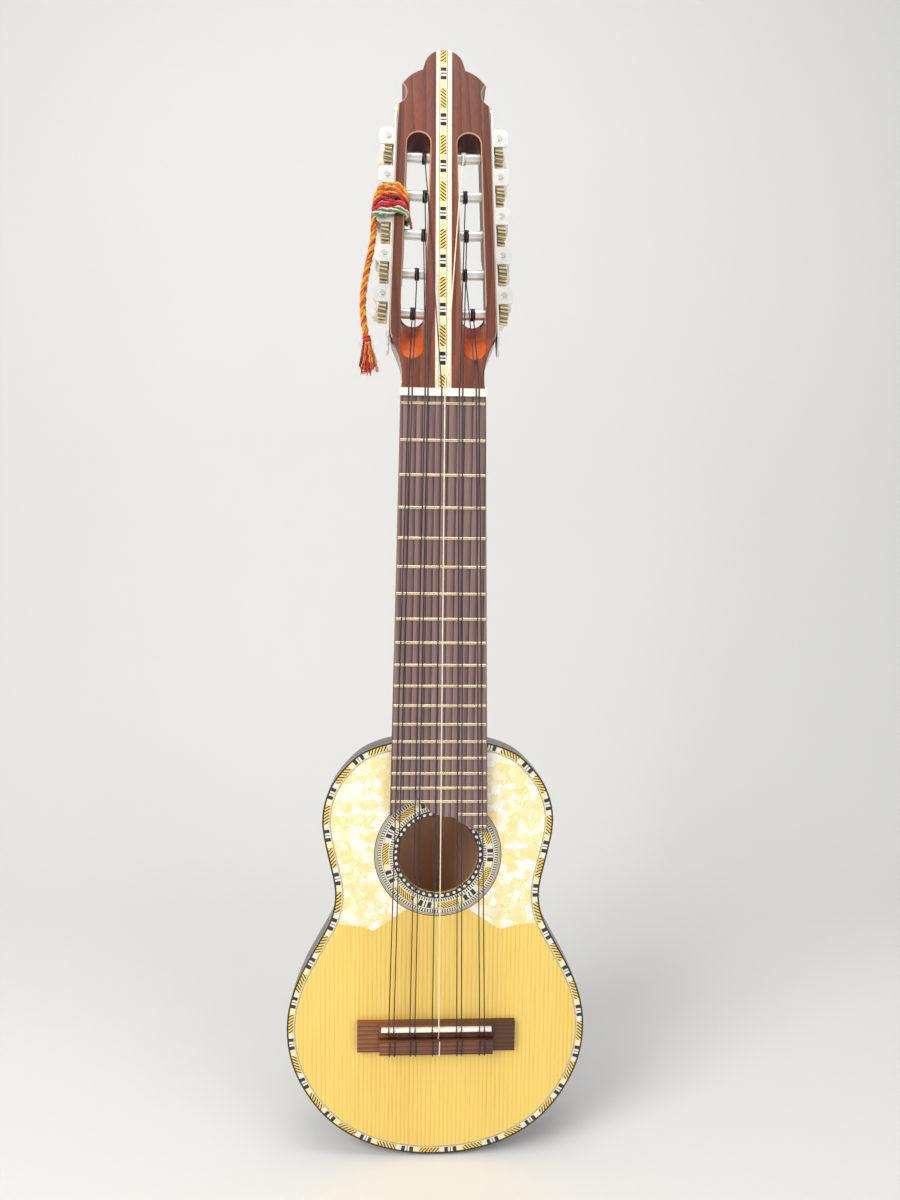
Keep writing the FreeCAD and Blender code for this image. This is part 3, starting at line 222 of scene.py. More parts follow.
SPRUCE = wood("SpruceTop", [(0.0, srgb(240, 212, 122)), (0.5, srgb(234, 198, 98)), (0.78, srgb(214, 166, 66)), (1.0, srgb(184, 128, 44))], 0.0026, wander=0.55, pores=0.10,
              coat=0.5, rough=(0.28, 0.42), ray=0.24, blotch=0.42)
SPRUCE_IN = wood("SpruceBrace", [(0.0, srgb(226, 196, 140)), (0.6, srgb(204, 168, 108)), (1.0, srgb(170, 128, 76))], 0.0019, coat=0.0, rough=(0.6, 0.8))
BOWLWOOD = wood("BowlWood", [(0.0, srgb(86, 46, 28)), (0.5, srgb(62, 31, 20)), (1.0, srgb(30, 15, 11))], 0.0052, wander=1.0, pores=0.5, coat=0.28, rough=(0.3, 0.46), ray=0.32, blotch=0.5)
# painted light: the bowl's inside is given about twice its wood's brightness to stand in for light reaching the cavity
INWOOD_PAINTED_LIGHT = wood("BowlInside", [(0.0, srgb(255, 226, 200)), (0.5, srgb(252, 208, 176)), (1.0, srgb(232, 168, 136))], 0.0085, wander=0.8, pores=0.35, coat=0.0, rough=(0.55, 0.75), ray=0.25, blotch=0.35)
FBWOOD = wood("FretboardWood", [(0.0, srgb(182, 158, 154)), (0.35, srgb(152, 126, 122)), (0.7, srgb(112, 86, 84)), (1.0, srgb(52, 34, 34))], 0.0040, wander=0.9, pores=0.6, coat=0.22,
              rough=(0.34, 0.5), ray=0.5, blotch=0.45)
BRWOOD = wood("BridgeWood", [(0.0, srgb(170, 112, 74)), (0.4, srgb(128, 78, 50)), (0.75, srgb(86, 48, 32)), (1.0, srgb(50, 27, 20))], 0.0024, wander=2.0, pores=0.6, coat=0.15,
              rough=(0.38, 0.55), grain_axis="X", ray=0.4, blotch=0.5)
# the bridge's colour is multiplied lighter towards -X and darker towards +X along its length
_x = BRWOOD.sep()[0]
_old = BRWOOD.b.inputs["Base Color"].links[0].from_socket
_side = BRWOOD.ramp(BRWOOD.math("MULTIPLY_ADD", _x, 1.0 / 0.110, 0.5), [(0.0, (1.45, 1.42, 1.0)), (0.22, (1.35, 1.3, 0.95)), (0.3, (0.95, 0.95, 0.95)), (0.7, (0.9, 0.88, 0.85)), (0.8, (0.52, 0.48, 0.42)), (1.0, (0.46, 0.42, 0.36))])
BRWOOD.link(BRWOOD.mix(1.0, _old, _side, "MULTIPLY"), BRWOOD.b.inputs["Base Color"])


def neck_wood():
    m = wood("NeckWood", [(0.0, srgb(170, 100, 66)), (0.35, srgb(136, 74, 50)), (0.7, srgb(100, 52, 38)), (1.0, srgb(62, 32, 26))], 0.0060, wander=1.1, pores=0.55, coat=0.45,
             rough=(0.28, 0.42), ray=0.3, blotch=0.5)
    # the slots' ramps at the nut end are painted warm orange as painted light, because they face up into the light
    x, y, z = m.sep()
    T = math.radians(12.0)
    u = m.math("ADD", m.math("MULTIPLY", m.math("ADD", y, 0.003), math.sin(T)), m.math("MULTIPLY", z, math.cos(T)))
    w = m.math("ADD", m.math("MULTIPLY", m.math("ADD", y, 0.003), -math.cos(T)), m.math("MULTIPLY", z, math.sin(T)))
    ax = m.math("ABSOLUTE", x)
    lit_ramp_mask = m.math("MULTIPLY", m.math("LESS_THAN", w, -0.0007), m.math("LESS_THAN", u, 0.0455))
    lit_ramp_mask = m.math("MULTIPLY", lit_ramp_mask, m.math("GREATER_THAN", u, 0.0172))
    lit_ramp_mask = m.math("MULTIPLY", lit_ramp_mask, m.math("LESS_THAN", ax, 0.0248))
    lit_ramp_mask = m.math("MULTIPLY", lit_ramp_mask, m.math("GREATER_THAN", ax, 0.0110))
    lit_ramp_mask = m.math("MULTIPLY", lit_ramp_mask, m.math("GREATER_THAN", w, -0.0199))
    old = m.b.inputs["Base Color"].links[0].from_socket
    fl = m.noise(m.mapped((300, 300, 300)), 1.0, 3, 0.6)
    # painted light: this orange stands in for the light falling on the upward-facing ramps
    orange = m.ramp(fl, [(0.2, srgb(226, 112, 44)), (0.8, srgb(188, 74, 26))])
    col = m.mix(lit_ramp_mask, old, orange)
    # the two side rails are of a darker, redder stripe of the plank, and a pale line along the front arris is a painted
    # highlight on the glossy bevel
    # inside the slots the wood is painted dark as painted shade on the recessed slot walls; its coat and specular are
    # turned down there, bare of lacquer and dull
    slot_shade_dull_mask = m.math("MULTIPLY", m.math("LESS_THAN", w, -0.0009), m.math("GREATER_THAN", u, 0.0455))
    slot_shade_dull_mask = m.math("MULTIPLY", slot_shade_dull_mask, m.math("LESS_THAN", u, 0.1640))
    slot_shade_dull_mask = m.math("MULTIPLY", slot_shade_dull_mask, m.math("MULTIPLY", m.math("LESS_THAN", ax, 0.0262), m.math("GREATER_THAN", ax, 0.0060)))
    slot_shade_dull_mask = m.math("MULTIPLY", slot_shade_dull_mask, m.math("GREATER_THAN", w, -0.0199))
    # painted shade: the slot walls are darkened where shade falls in the recess
    col = m.mix(m.math("MULTIPLY", slot_shade_dull_mask, 0.75), col, srgb(74, 32, 22))
    m.link(m.math("MULTIPLY_ADD", slot_shade_dull_mask, -0.45, 0.45), m.b.inputs["Coat Weight"])
    m.link(m.math("MULTIPLY_ADD", slot_shade_dull_mask, -0.38, 0.45), m.b.inputs["Specular IOR Level"])
    hd = m.math("GREATER_THAN", u, 0.030)
    rail = m.math("MULTIPLY", hd, m.math("GREATER_THAN", ax, 0.0235))
    col = m.mix(m.math("MULTIPLY", rail, 0.85), col, (0.60, 0.53, 0.50), "MULTIPLY")
    # painted highlight: a pale band just behind the front face, where the bevelled edges catch the light
    arris_highlight = m.math("MULTIPLY", m.math("LESS_THAN", w, -0.00004), m.math("GREATER_THAN", w, -0.00062))
    arris_highlight = m.math("MULTIPLY", m.math("MULTIPLY", arris_highlight, hd), m.math("LESS_THAN", u, 0.215))
    col = m.mix(m.math("MULTIPLY", arris_highlight, 0.55), col, srgb(236, 196, 160))
    m.link(col, m.b.inputs["Base Color"])
    return m


NECKWOOD = neck_wood()


def metal(name, col, rough=(0.16, 0.32), metallic=1.0):
    m = NT(name)
    f = m.noise(m.mapped((700, 700, 700)), 1.0, 4, 0.6)
    g = m.noise(m.mapped((60, 60, 60)), 1.0, 3, 0.6)
    c = m.ramp(g, [(0.3, tuple(k * 0.82 for k in col)), (0.65, col)])
    m.link(c, m.b.inputs["Base Color"])
    m.rough(f, *rough)
    m.bump(f, 0.05, 0.00005)
    m.set(Metallic=metallic)
    return m


NICKEL = metal("NickelPlate", srgb(248, 246, 240), (0.24, 0.42), 0.72)
FRETWIRE = metal("FretWire", srgb(238, 222, 184), (0.2, 0.32), 0.9)


def gear_metal(node):
    """cream-coloured cut teeth with painted shade in the gaps between them, told apart by the distance from the gear's
    own axis
    """
    vs = np.array([v.co[:] for v in NODES[node].data.vertices])
    c = 0.5 * (vs.max(axis=0) + vs.min(axis=0))
    m = metal("Gear_" + node, srgb(240, 228, 192), (0.26, 0.42), 0.7)
    x, y, z = m.sep()
    r = m.math("SQRT", m.math("ADD", m.math("POWER", m.math("SUBTRACT", y, float(c[1])), 2.0), m.math("POWER", m.math("SUBTRACT", z, float(c[2])), 2.0)))
    old = m.b.inputs["Base Color"].links[0].from_socket
    # painted shade: a dark ring at the roots of the teeth, standing in for the shade in the gaps between them
    root_shade = m.ramp(m.math("DIVIDE", r, 0.0068), [(0.0, (1, 1, 1)), (0.74, (1, 1, 1)), (0.77, (0.34, 0.29, 0.23)), (0.86, (0.62, 0.57, 0.48)), (0.93, (1, 1, 1))])
    m.link(m.mix(1.0, old, root_shade, "MULTIPLY"), m.b.inputs["Base Color"])
    return m


STEEL = metal("WormSteel", srgb(232, 227, 216), (0.24, 0.4), 0.8)


def plastic(name, a, b, scale=60, rough=(0.18, 0.3), coat=0.5, sub=0.0, tr=0.0):
    m = NT(name)
    f = m.noise(m.mapped((scale, scale, scale)), 1.0, 4, 0.55, 0.6)
    m.link(m.ramp(f, [(0.3, a), (0.7, b)]), m.b.inputs["Base Color"])
    m.rough(m.noise(m.mapped((500, 500, 500)), 1.0, 3, 0.5), *rough)
    m.set(Coat_Weight=coat, Coat_Roughness=0.1)
    if sub:
        m.set(Subsurface_Weight=sub, Subsurface_Radius=(0.002, 0.0016, 0.001))
    return m


BONE = plastic("Bone", srgb(246, 241, 228), srgb(232, 224, 204), 120, coat=0.4)
BUTTON = plastic("PearlButton", srgb(244, 238, 220), srgb(224, 210, 176), 150, coat=0.8, sub=0.15)
BLACK = plastic("BlackBinding", srgb(22, 18, 18), srgb(34, 26, 25), 200, rough=(0.22, 0.34))
DARKSTRING = plastic("DarkString", srgb(46, 24, 32), srgb(30, 15, 22), 300, rough=(0.25, 0.35), coat=0.3)
WHITESTRING = plastic("WhiteString", srgb(246, 238, 214), srgb(226, 214, 184), 300, rough=(0.25, 0.35), coat=0.3)


def pearloid():
    m = NT("Pearloid")
    v0 = m.mapped((1, 1, 1))
    wob = m.n("ShaderNodeTexNoise")
    wob.inputs["Scale"].default_value = 110
    wob.inputs["Detail"].default_value = 3
    m.link(v0, wob.inputs["Vector"])
    add = m.n("ShaderNodeVectorMath", operation="MULTIPLY_ADD")
    m.link(wob.outputs["Color"], add.inputs[0])
    add.inputs[1].default_value = (0.009, 0.009, 0.009)
    m.link(v0, add.inputs[2])
    vor = m.n("ShaderNodeTexVoronoi", feature="SMOOTH_F1")
    vor.inputs["Scale"].default_value = 210
    vor.inputs["Smoothness"].default_value = 0.35
    m.link(add.outputs[0], vor.inputs["Vector"])
    big = m.noise(v0, 58, 3, 0.6, 1.0)
    cell = m.sep(vor.outputs["Color"])[0]
    f = m.math("ADD", m.math("MULTIPLY", cell, 0.55), m.math("MULTIPLY", big, 0.6))
    col = m.ramp(f, [(0.26, srgb(240, 238, 230)), (0.46, srgb(238, 232, 212)), (0.56, srgb(240, 224, 172)), (0.70, srgb(238, 214, 138)), (0.84, srgb(240, 228, 190)), (1.0, srgb(242, 240, 234))])
    edge = m.n("ShaderNodeTexVoronoi", feature="DISTANCE_TO_EDGE")
    edge.inputs["Scale"].default_value = 210
    m.link(add.outputs[0], edge.inputs["Vector"])
    crack = m.ramp(edge.outputs["Distance"], [(0.0, (0.86, 0.84, 0.82)), (0.05, (1, 1, 1))])
    m.link(m.mix(0.5, col, crack, "MULTIPLY"), m.b.inputs["Base Color"])
    m.rough(cell, 0.14, 0.34)
    m.set(Coat_Weight=0.7, Coat_Roughness=0.08, Sheen_Weight=0.1)
    m.bump(edge.outputs["Distance"], 0.04, 0.0001)
    return m


PEARL = pearloid()


def painted(name, attr="tone", rough=(0.24, 0.36), coat=0.5):
    m = NT(name)
    a = m.n("ShaderNodeVertexColor")
    a.layer_name = attr
    f = m.noise(m.mapped((900, 900, 900)), 1.0, 3, 0.6)
    g = m.ramp(f, [(0.2, (0.86, 0.85, 0.83)), (0.7, (1, 1, 1))])
    m.link(m.mix(0.6, a.outputs["Color"], g, "MULTIPLY"), m.b.inputs["Base Color"])
    m.rough(f, *rough)
    m.set(Coat_Weight=coat, Coat_Roughness=0.12)
    return m


TILES = painted("Marquetry")

for n_, nt in (("soundboard", SPRUCE), ("braces", SPRUCE_IN), ("neck", NECKWOOD), ("fretboard", FBWOOD), ("frets", FRETWIRE), ("nut", BONE), ("saddle", BONE),
               ("bridge", BRWOOD), ("edge_binding", BLACK), ("pearloid_plates", PEARL), ("tuner_plates", NICKEL), ("plate_screws", NICKEL)):
    assign(n_, nt)
STN = [(sd, k) for sd in ("left", "right") for k in (1, 2, 3, 4, 5)]
for sd, k in STN:
    assign("button_%s_%d" % (sd, k), BUTTON)
    assign("gear_%s_%d" % (sd, k), gear_metal("gear_%s_%d" % (sd, k)))
    assign("worm_shaft_%s_%d" % (sd, k), STEEL)
    assign("string_post_%s_%d" % (sd, k), NICKEL)


# ------------------------------------------------------------------ loose solids of a CAD node get their own finish
def solids_of(o):
    """the separate solids of a node, as lists of polygon indices, found by joining vertices that stand at the same place"""
    me = o.data
    co = np.zeros(len(me.vertices) * 3)
    me.vertices.foreach_get("co", co)
    co = co.reshape(-1, 3)
    _, inv = np.unique(np.round(co, 6), axis=0, return_inverse=True)
    inv = inv.ravel()
    up = list(range(inv.max() + 1))

    def find(a):
        while up[a] != a:
            up[a] = up[up[a]]
            a = up[a]
        return a
    for p in me.polygons:
        v = [find(inv[i]) for i in p.vertices]
        for b in v[1:]:
            up[find(b)] = find(v[0])
    groups = {}
    for p in me.polygons:
        groups.setdefault(find(inv[p.vertices[0]]), []).append(p.index)
    out = []
    for g in groups.values():
        idx = sorted({i for k in g for i in me.polygons[k].vertices})
        out.append((g, co[idx]))
    return out


def second(node, nt, test):
    """the solids of a node that pass test(points) take the material nt as well"""
    o = NODES[node]
    o.data.materials.append(nt.mat)
    k = len(o.data.materials) - 1
    o.material_slots[k].link = "OBJECT"
    o.material_slots[k].material = nt.mat
    n = 0
    for polys, pts in solids_of(o):
        if test(pts):
            n += 1
            for i in polys:
                o.data.polygons[i].material_index = k
    return n


assign("strings", DARKSTRING)
nw = second("strings", WHITESTRING, lambda p: bool(np.any((abs(p[:, 0] - 0.0013) < 0.0006) & (abs(p[:, 2] + 0.378) < 0.004))) and p[:, 2].min() < -0.3)
print("cream strings:", nw)
for sd, k in STN:
    nm = "string_post_%s_%d" % (sd, k)
    allp = np.array([v.co[:] for v in NODES[nm].data.vertices])
    wide = float(np.ptp(allp[:, 0]))
    t = WHITESTRING if (sd, k) == ("right", 1) else DARKSTRING
    n = second(nm, t, lambda p, w=wide: float(np.ptp(p[:, 0])) < w * 0.6)

# the bowl is lacquered dark outside and bare inside; the inside is also painted far paler than its wood, as painted
# light in the cavity
assign("bowl", BOWLWOOD)
bo = NODES["bowl"]
bo.data.materials.append(INWOOD_PAINTED_LIGHT.mat)
bo.material_slots[1].link = "OBJECT"
bo.material_slots[1].material = INWOOD_PAINTED_LIGHT.mat
for p in bo.data.polygons:
    c, nrm = p.center, p.normal
    if nrm.dot(c - Vector((0, 0.004, -0.334))) < -0.002 or (c.y > 0.003 and nrm.dot(c - Vector((0, 0.004, -0.334))) < 0.0):
        p.material_index = 1


# ------------------------------------------------------------------ inlay work
def inlay_material(name, width, pitch, blocks, bands, stripe, lean, lean_random=False, tint=(1, 1, 1)):
    """path = (mm along, mm across from the outer edge, 0). blocks: (start fraction, colour or None for the striped stretch);
    bands: (start mm across, colour or None for the blocks, or 'bead')."""
    m = NT(name)
    a = m.n("ShaderNodeAttribute", attribute_name="path")
    s, v, _ = m.sep(a.outputs["Vector"])
    wob = m.noise(m.comb(m.math("MULTIPLY", s, 0.31), m.math("MULTIPLY", v, 0.4), 0.0), 1.0, 2, 0.5)
    s = m.math("ADD", s, m.math("MULTIPLY_ADD", wob, 0.5, -0.25))
    cyc = m.math("DIVIDE", s, pitch)
    f = m.math("FRACT", cyc)
    col = m.ramp(f, [(p, c or (0, 0, 0)) for p, c in blocks], "CONSTANT")
    if lean_random:
        w = m.n("ShaderNodeTexWhiteNoise", noise_dimensions="1D")
        m.link(m.math("FLOOR", cyc), w.inputs["W"])
        sg = m.math("MULTIPLY_ADD", m.math("GREATER_THAN", w.outputs["Value"], 0.5), 2 * lean, -lean)
        t = m.math("MULTIPLY_ADD", v, sg, s)
    else:
        t = m.math("MULTIPLY_ADD", v, lean, s)
    st = m.math("FRACT", m.math("DIVIDE", t, stripe))
    stripes = m.ramp(st, [(0.0, YELLOW), (0.54, DARK)], "CONSTANT")
    for i, (p, c) in enumerate(blocks):
        if c is None:
            hi = blocks[i + 1][0] if i + 1 < len(blocks) else 1.01
            k = m.math("MULTIPLY", m.math("GREATER_THAN", f, p), m.math("LESS_THAN", f, hi))
            col = m.mix(k, col, stripes)
    for i, (p, c) in enumerate(bands):
        if c is None:
            continue
        hi = bands[i + 1][0] if i + 1 < len(bands) else width
        k = m.math("MULTIPLY", m.math("GREATER_THAN", v, p), m.math("LESS_THAN", v, hi))
        if isinstance(c, tuple) and len(c) == 2:           # beads: (pitch mm, kind)
            bp, kind = c
            b = m.math("FRACT", m.math("DIVIDE", s, bp))
            if kind == "check":
                c = m.ramp(b, [(0.0, WHITE), (0.52, DARK)], "CONSTANT")
            else:
                mid = 0.5 * (p + hi)
                dx = m.math("MULTIPLY", m.math("SUBTRACT", b, 0.5), bp / 0.46)
                dy = m.math("DIVIDE", m.math("SUBTRACT", v, mid), 0.85)
                r = m.math("SQRT", m.math("ADD", m.math("POWER", m.math("ABSOLUTE", dx), 2.0), m.math("POWER", m.math("ABSOLUTE", dy), 2.0)))
                c = m.ramp(r, [(0.0, WHITE), (0.98, DARK)], "CONSTANT")
        col = m.mix(k, col, c)
    g = m.noise(m.mapped((700, 700, 700)), 1.0, 3, 0.6)
    big = m.noise(m.mapped((160, 160, 160)), 1.0, 3, 0.5)
    col = m.mix(0.35, col, m.ramp(g, [(0.25, (0.62, 0.58, 0.52)), (0.7, (1, 1, 1))]), "MULTIPLY")
    col = m.mix(0.4, col, m.ramp(big, [(0.3, (0.80, 0.76, 0.66)), (0.7, (1, 1, 1))]), "MULTIPLY")
    m.link(col, m.b.inputs["Base Color"])
    m.rough(g, 0.22, 0.36)
    m.set(Coat_Weight=0.6, Coat_Roughness=0.1)
    m.bump(g, 0.08, 0.00008)
    return m


WHITE, DARK, YELLOW, CREAM, GREY = srgb(236, 230, 210), srgb(28, 22, 24), srgb(252, 216, 92), srgb(244, 232, 178), srgb(196, 186, 160)


def ribbon(name, outer, inner, top, bottom, along, across, nt, body="root", closed=True):
    """a closed strip between two lines of points (same count), with the path in a corner attribute"""
    n = len(outer)
    verts, faces, uv = [], [], []
    for i in range(n):
        verts += [outer[i] + top, inner[i] + top, inner[i] + bottom, outer[i] + bottom]
    A = [0.0, across, across, 0.0]
    last = n if closed else n - 1
    for i in range(last):
        j = (i + 1) % n
        s0, s1 = along[i], along[i + 1]
        for a in range(4):
            b = (a + 1) % 4
            faces.append((4 * i + a, 4 * j + a, 4 * j + b, 4 * i + b))
            uv.append(((s0, A[a]), (s1, A[a]), (s1, A[b]), (s0, A[b])))
    if not closed:
        faces.append((0, 1, 2, 3)); uv.append([(along[0], A[a]) for a in range(4)])
        faces.append((4 * n - 1, 4 * n - 2, 4 * n - 3, 4 * n - 4)); uv.append([(along[n - 1], A[a]) for a in (3, 2, 1, 0)])
    me = bpy.data.meshes.new(name)
    me.from_pydata([tuple(v) for v in verts], [], faces)
    at = me.attributes.new("path", "FLOAT_VECTOR", "CORNER")
    flat = [c for f in uv for p in f for c in (p[0], p[1], 0.0)]
    at.data.foreach_set("vector", flat)
    me.validate()
    bm = bmesh.new(); bm.from_mesh(me)
    bmesh.ops.recalc_face_normals(bm, faces=bm.faces)
    bm.to_mesh(me); bm.free()
    me.materials.append(nt.mat)
    o = bpy.data.objects.new(name, me)
    scene.collection.objects.link(o)
    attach(o, body)
    return o


HALF = [(0, -203.2), (10, -203.4), (20, -204.2), (30, -205.9), (38.7, -208.6), (47.2, -212.8), (54.9, -219.7), (61.3, -227.6),
        (65.9, -236.6), (68.4, -245.9), (69.05, -254.0), (68.2, -262.5), (66.3, -272), (64.0, -282), (62.1, -291), (61.4, -299),
        (62.2, -307), (64.6, -315), (68.6, -323), (75.4, -335.2), (80.9, -345.5), (85.3, -355.5), (88.5, -366), (90.3, -377),
        (90.5, -385), (89.7, -395), (87.5, -405), (83.5, -415.5), (78.2, -425.2), (71.2, -435), (61.0, -445.2), (50.2, -452.5),
        (38.0, -458.2), (25.5, -461.9), (12.5, -464.0), (0, -464.6)]
RING = np.array(HALF + [(-x, y) for x, y in reversed(HALF[1:-1])], float)


def periodic_spline(P, count):
    """evenly spaced points and unit normals on the closed cubic spline through P"""
    n = len(P)
    h = np.linalg.norm(np.roll(P, -1, 0) - P, axis=1)
    A = np.zeros((n, n)); B = np.zeros((n, 2))
    for i in range(n):
        a, b = h[i - 1], h[i]
        A[i, (i - 1) % n] += b; A[i, i] += 2 * (a + b); A[i, (i + 1) % n] += a
        B[i] = 3 * (b / a * (P[i] - P[i - 1]) + a / b * (P[(i + 1) % n] - P[i]))
    M = np.linalg.solve(A, B)
    fine, tan = [], []
    for i in range(n):
        j = (i + 1) % n
        for t in np.linspace(0, 1, 60, endpoint=False):
            h00, h10, h01, h11 = 2*t**3-3*t**2+1, t**3-2*t**2+t, -2*t**3+3*t**2, t**3-t**2
            fine.append(h00*P[i] + h10*h[i]*M[i] + h01*P[j] + h11*h[i]*M[j])
    fine = np.array(fine)
    d = np.linalg.norm(np.roll(fine, -1, 0) - fine, axis=1)
    L = np.concatenate([[0], np.cumsum(d)])
    loop = np.vstack([fine, fine[:1]])
    s = np.linspace(0, L[-1], count, endpoint=False)
    pts = np.column_stack([np.interp(s, L, loop[:, k]) for k in (0, 1)])
    T = np.roll(pts, -1, 0) - np.roll(pts, 1, 0)
    T /= np.linalg.norm(T, axis=1)[:, None]
    return pts, np.column_stack([T[:, 1], -T[:, 0]]), L[-1]      # clockwise seen from the front: inward is to the right


RP, RN, RL = periodic_spline(RING, 900)
edge = lambda d: [Vector((x * MM, 0, z * MM)) for x, z in RP + RN * d]
reps = round(RL / 27.6)
BORDER = inlay_material("BorderMarquetry", 4.0, RL / reps,
    [(0.0, DARK), (0.083, WHITE), (0.127, DARK), (0.148, WHITE), (0.192, DARK), (0.275, WHITE), (0.400, None), (0.850, CREAM)],
    [(0.0, None), (2.95, WHITE), (3.3, DARK), (3.5, WHITE), (3.78, DARK)], 2.1, 0.8, lean_random=True)
w_ = ribbon("edge_marquetry_tiles", edge(1.0), edge(5.0), Vector((0, 0, 0)), Vector((0, 0.0012, 0)), [RL * i / 900 for i in range(901)], 4.0, BORDER)
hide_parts("edge_marquetry")

NR = 720
ang = [2 * math.pi * i / NR for i in range(NR)]
circ = lambda r: [Vector((r * math.cos(a), 0, -274.0 + r * math.sin(a))) * MM for a in ang]
CIRC = 7 * 10.0     # the rosette's path runs in tenths of a motif
ROS = inlay_material("RosetteMarquetry", 14.3, 10.0,
    [(0.0, DARK), (0.085, WHITE), (0.125, DARK), (0.15, WHITE), (0.19, DARK), (0.275, WHITE), (0.40, None), (0.86, CREAM)],
    [(0.0, DARK), (0.5, GREY), (1.0, DARK), (1.2, GREY), (2.0, DARK), (2.2, (70.0 / 145, "check")), (4.0, DARK), (4.15, WHITE), (4.75, DARK), (5.0, None), (8.5, WHITE),
     (9.0, (70.0 / 120, "check")), (10.8, WHITE), (11.05, DARK), (11.25, (70.0 / 43, "dot"))], 0.58, 0.32)
off = 137.2 / 360 * 70 + 10 * 0.18
w_ = ribbon("rosette_tiles", circ(38.2), circ(23.9), Vector((0, 0, 0)), Vector((0, 0.0012, 0)), [70.0 * i / NR - off + 140.0 for i in range(NR + 1)], 14.3, ROS)
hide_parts("rosette")

TILT = math.radians(12.0)


def head(x, u, w):
    """head frame in mm to the row frame in metres"""
    return Vector((x, -3 + u * math.sin(TILT) - w * math.cos(TILT), u * math.cos(TILT) + w * math.sin(TILT))) * MM


HI_U0, HI_U1 = 1.0, 207.6
cn = NODES["headstock_inlay"]
hv = np.array([v.co[:] for v in cn.data.vertices]) * 1000.0
hu = (hv[:, 1] + 3) * math.sin(TILT) + hv[:, 2] * math.cos(TILT)
hw = -(hv[:, 1] + 3) * math.cos(TILT) + hv[:, 2] * math.sin(TILT)
HI_U0, HI_U1 = float(hu.min()), float(hu.max())
top_l = float(hu[(hv[:, 0] < -4.5)].max())            # where the strip's corner stands on the crest's curve
us = [HI_U0 + (top_l - HI_U0) * i / 240 for i in range(241)]
HEADINLAY = inlay_material("HeadMarquetry", 9.3, 29.3,
    [(0.0, DARK), (0.078, WHITE), (0.118, DARK), (0.146, WHITE), (0.186, DARK), (0.265, CREAM), (0.385, None), (0.80, CREAM), (0.92, CREAM)],
    [(0.0, WHITE), (2.0, DARK), (2.25, WHITE), (2.6, None), (6.0, WHITE), (6.4, DARK), (6.7, WHITE), (7.1, WHITE)], 2.1, 0.8, lean_random=True)
L_, R_ = [], []
for i, u in enumerate(us):
    L_.append(head(-4.65, u, 0.0)); R_.append(head(4.65, u, 0.0))
# the last stretch follows the crest, rising to its middle
for i in range(1, 9):
    u = HI_U1 - (HI_U1 - top_l) * (1 - i / 8.0) ** 2
    hx = max(0.35, math.sqrt(max(0.0, 144.0 - (12.0 - (HI_U1 - u)) ** 2)))
    us.append(u)
    L_.append(head(-min(hx, 4.65), u, 0.0)); R_.append(head(min(hx, 4.65), u, 0.0))
w_ = ribbon("headstock_inlay_tiles", L_, R_, head(0, 0, 0) - head(0, 0, 0), head(0, 0, -1.0) - head(0, 0, 0), [u - 18.9 + 4.6 + 293.0 for u in us], 9.3, HEADINLAY, closed=False)
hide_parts("headstock_inlay")


# ------------------------------------------------------------------ yarn
def spline_line(name, pts_mm, fine=40):
    """the points of a NURBS line whose control points are the route, read back from Blender's own curve"""
    cu = bpy.data.curves.new(name, "CURVE")
    cu.dimensions = "3D"
    sp = cu.splines.new("NURBS")
    sp.points.add(len(pts_mm) - 1)
    for p, q in zip(sp.points, pts_mm):
        p.co = (q[0] * MM, q[1] * MM, q[2] * MM, 1)
    sp.order_u = 3
    sp.use_endpoint_u = True
    sp.resolution_u = fine
    cu.resolution_u = fine
    ob = bpy.data.objects.new(name, cu)
    scene.collection.objects.link(ob)
    bpy.context.view_layer.update()
    me = bpy.data.meshes.new_from_object(ob.evaluated_get(bpy.context.evaluated_depsgraph_get()))
    out = [v.co.copy() for v in me.vertices]
    bpy.data.meshes.remove(me)
    bpy.data.objects.remove(ob)
    return out


def resample(P, step):
    P = np.array([tuple(p) for p in P], float)
    d = np.linalg.norm(np.diff(P, axis=0), axis=1)
    L = np.concatenate([[0], np.cumsum(d)])
    n = max(3, int(L[-1] / step) + 1)
    s = np.linspace(0, L[-1], n)
    return np.column_stack([np.interp(s, L, P[:, k]) for k in range(3)]), s


def frames(P, ref=(0, 1, 0), closed=False):
    T = np.gradient(P, axis=0)
    if closed:
        T = np.roll(P, -1, 0) - np.roll(P, 1, 0)
    T /= np.linalg.norm(T, axis=1)[:, None] + 1e-12
    n = np.array(ref, float)
    N = np.zeros_like(P)
    for i, t in enumerate(T):
        n = n - t * n.dot(t)
        k = np.linalg.norm(n)
        if k < 1e-6:
            n = np.cross(t, (1, 0, 0)); k = np.linalg.norm(n)
        n = n / k
        N[i] = n
    return T, N, np.cross(T, N)


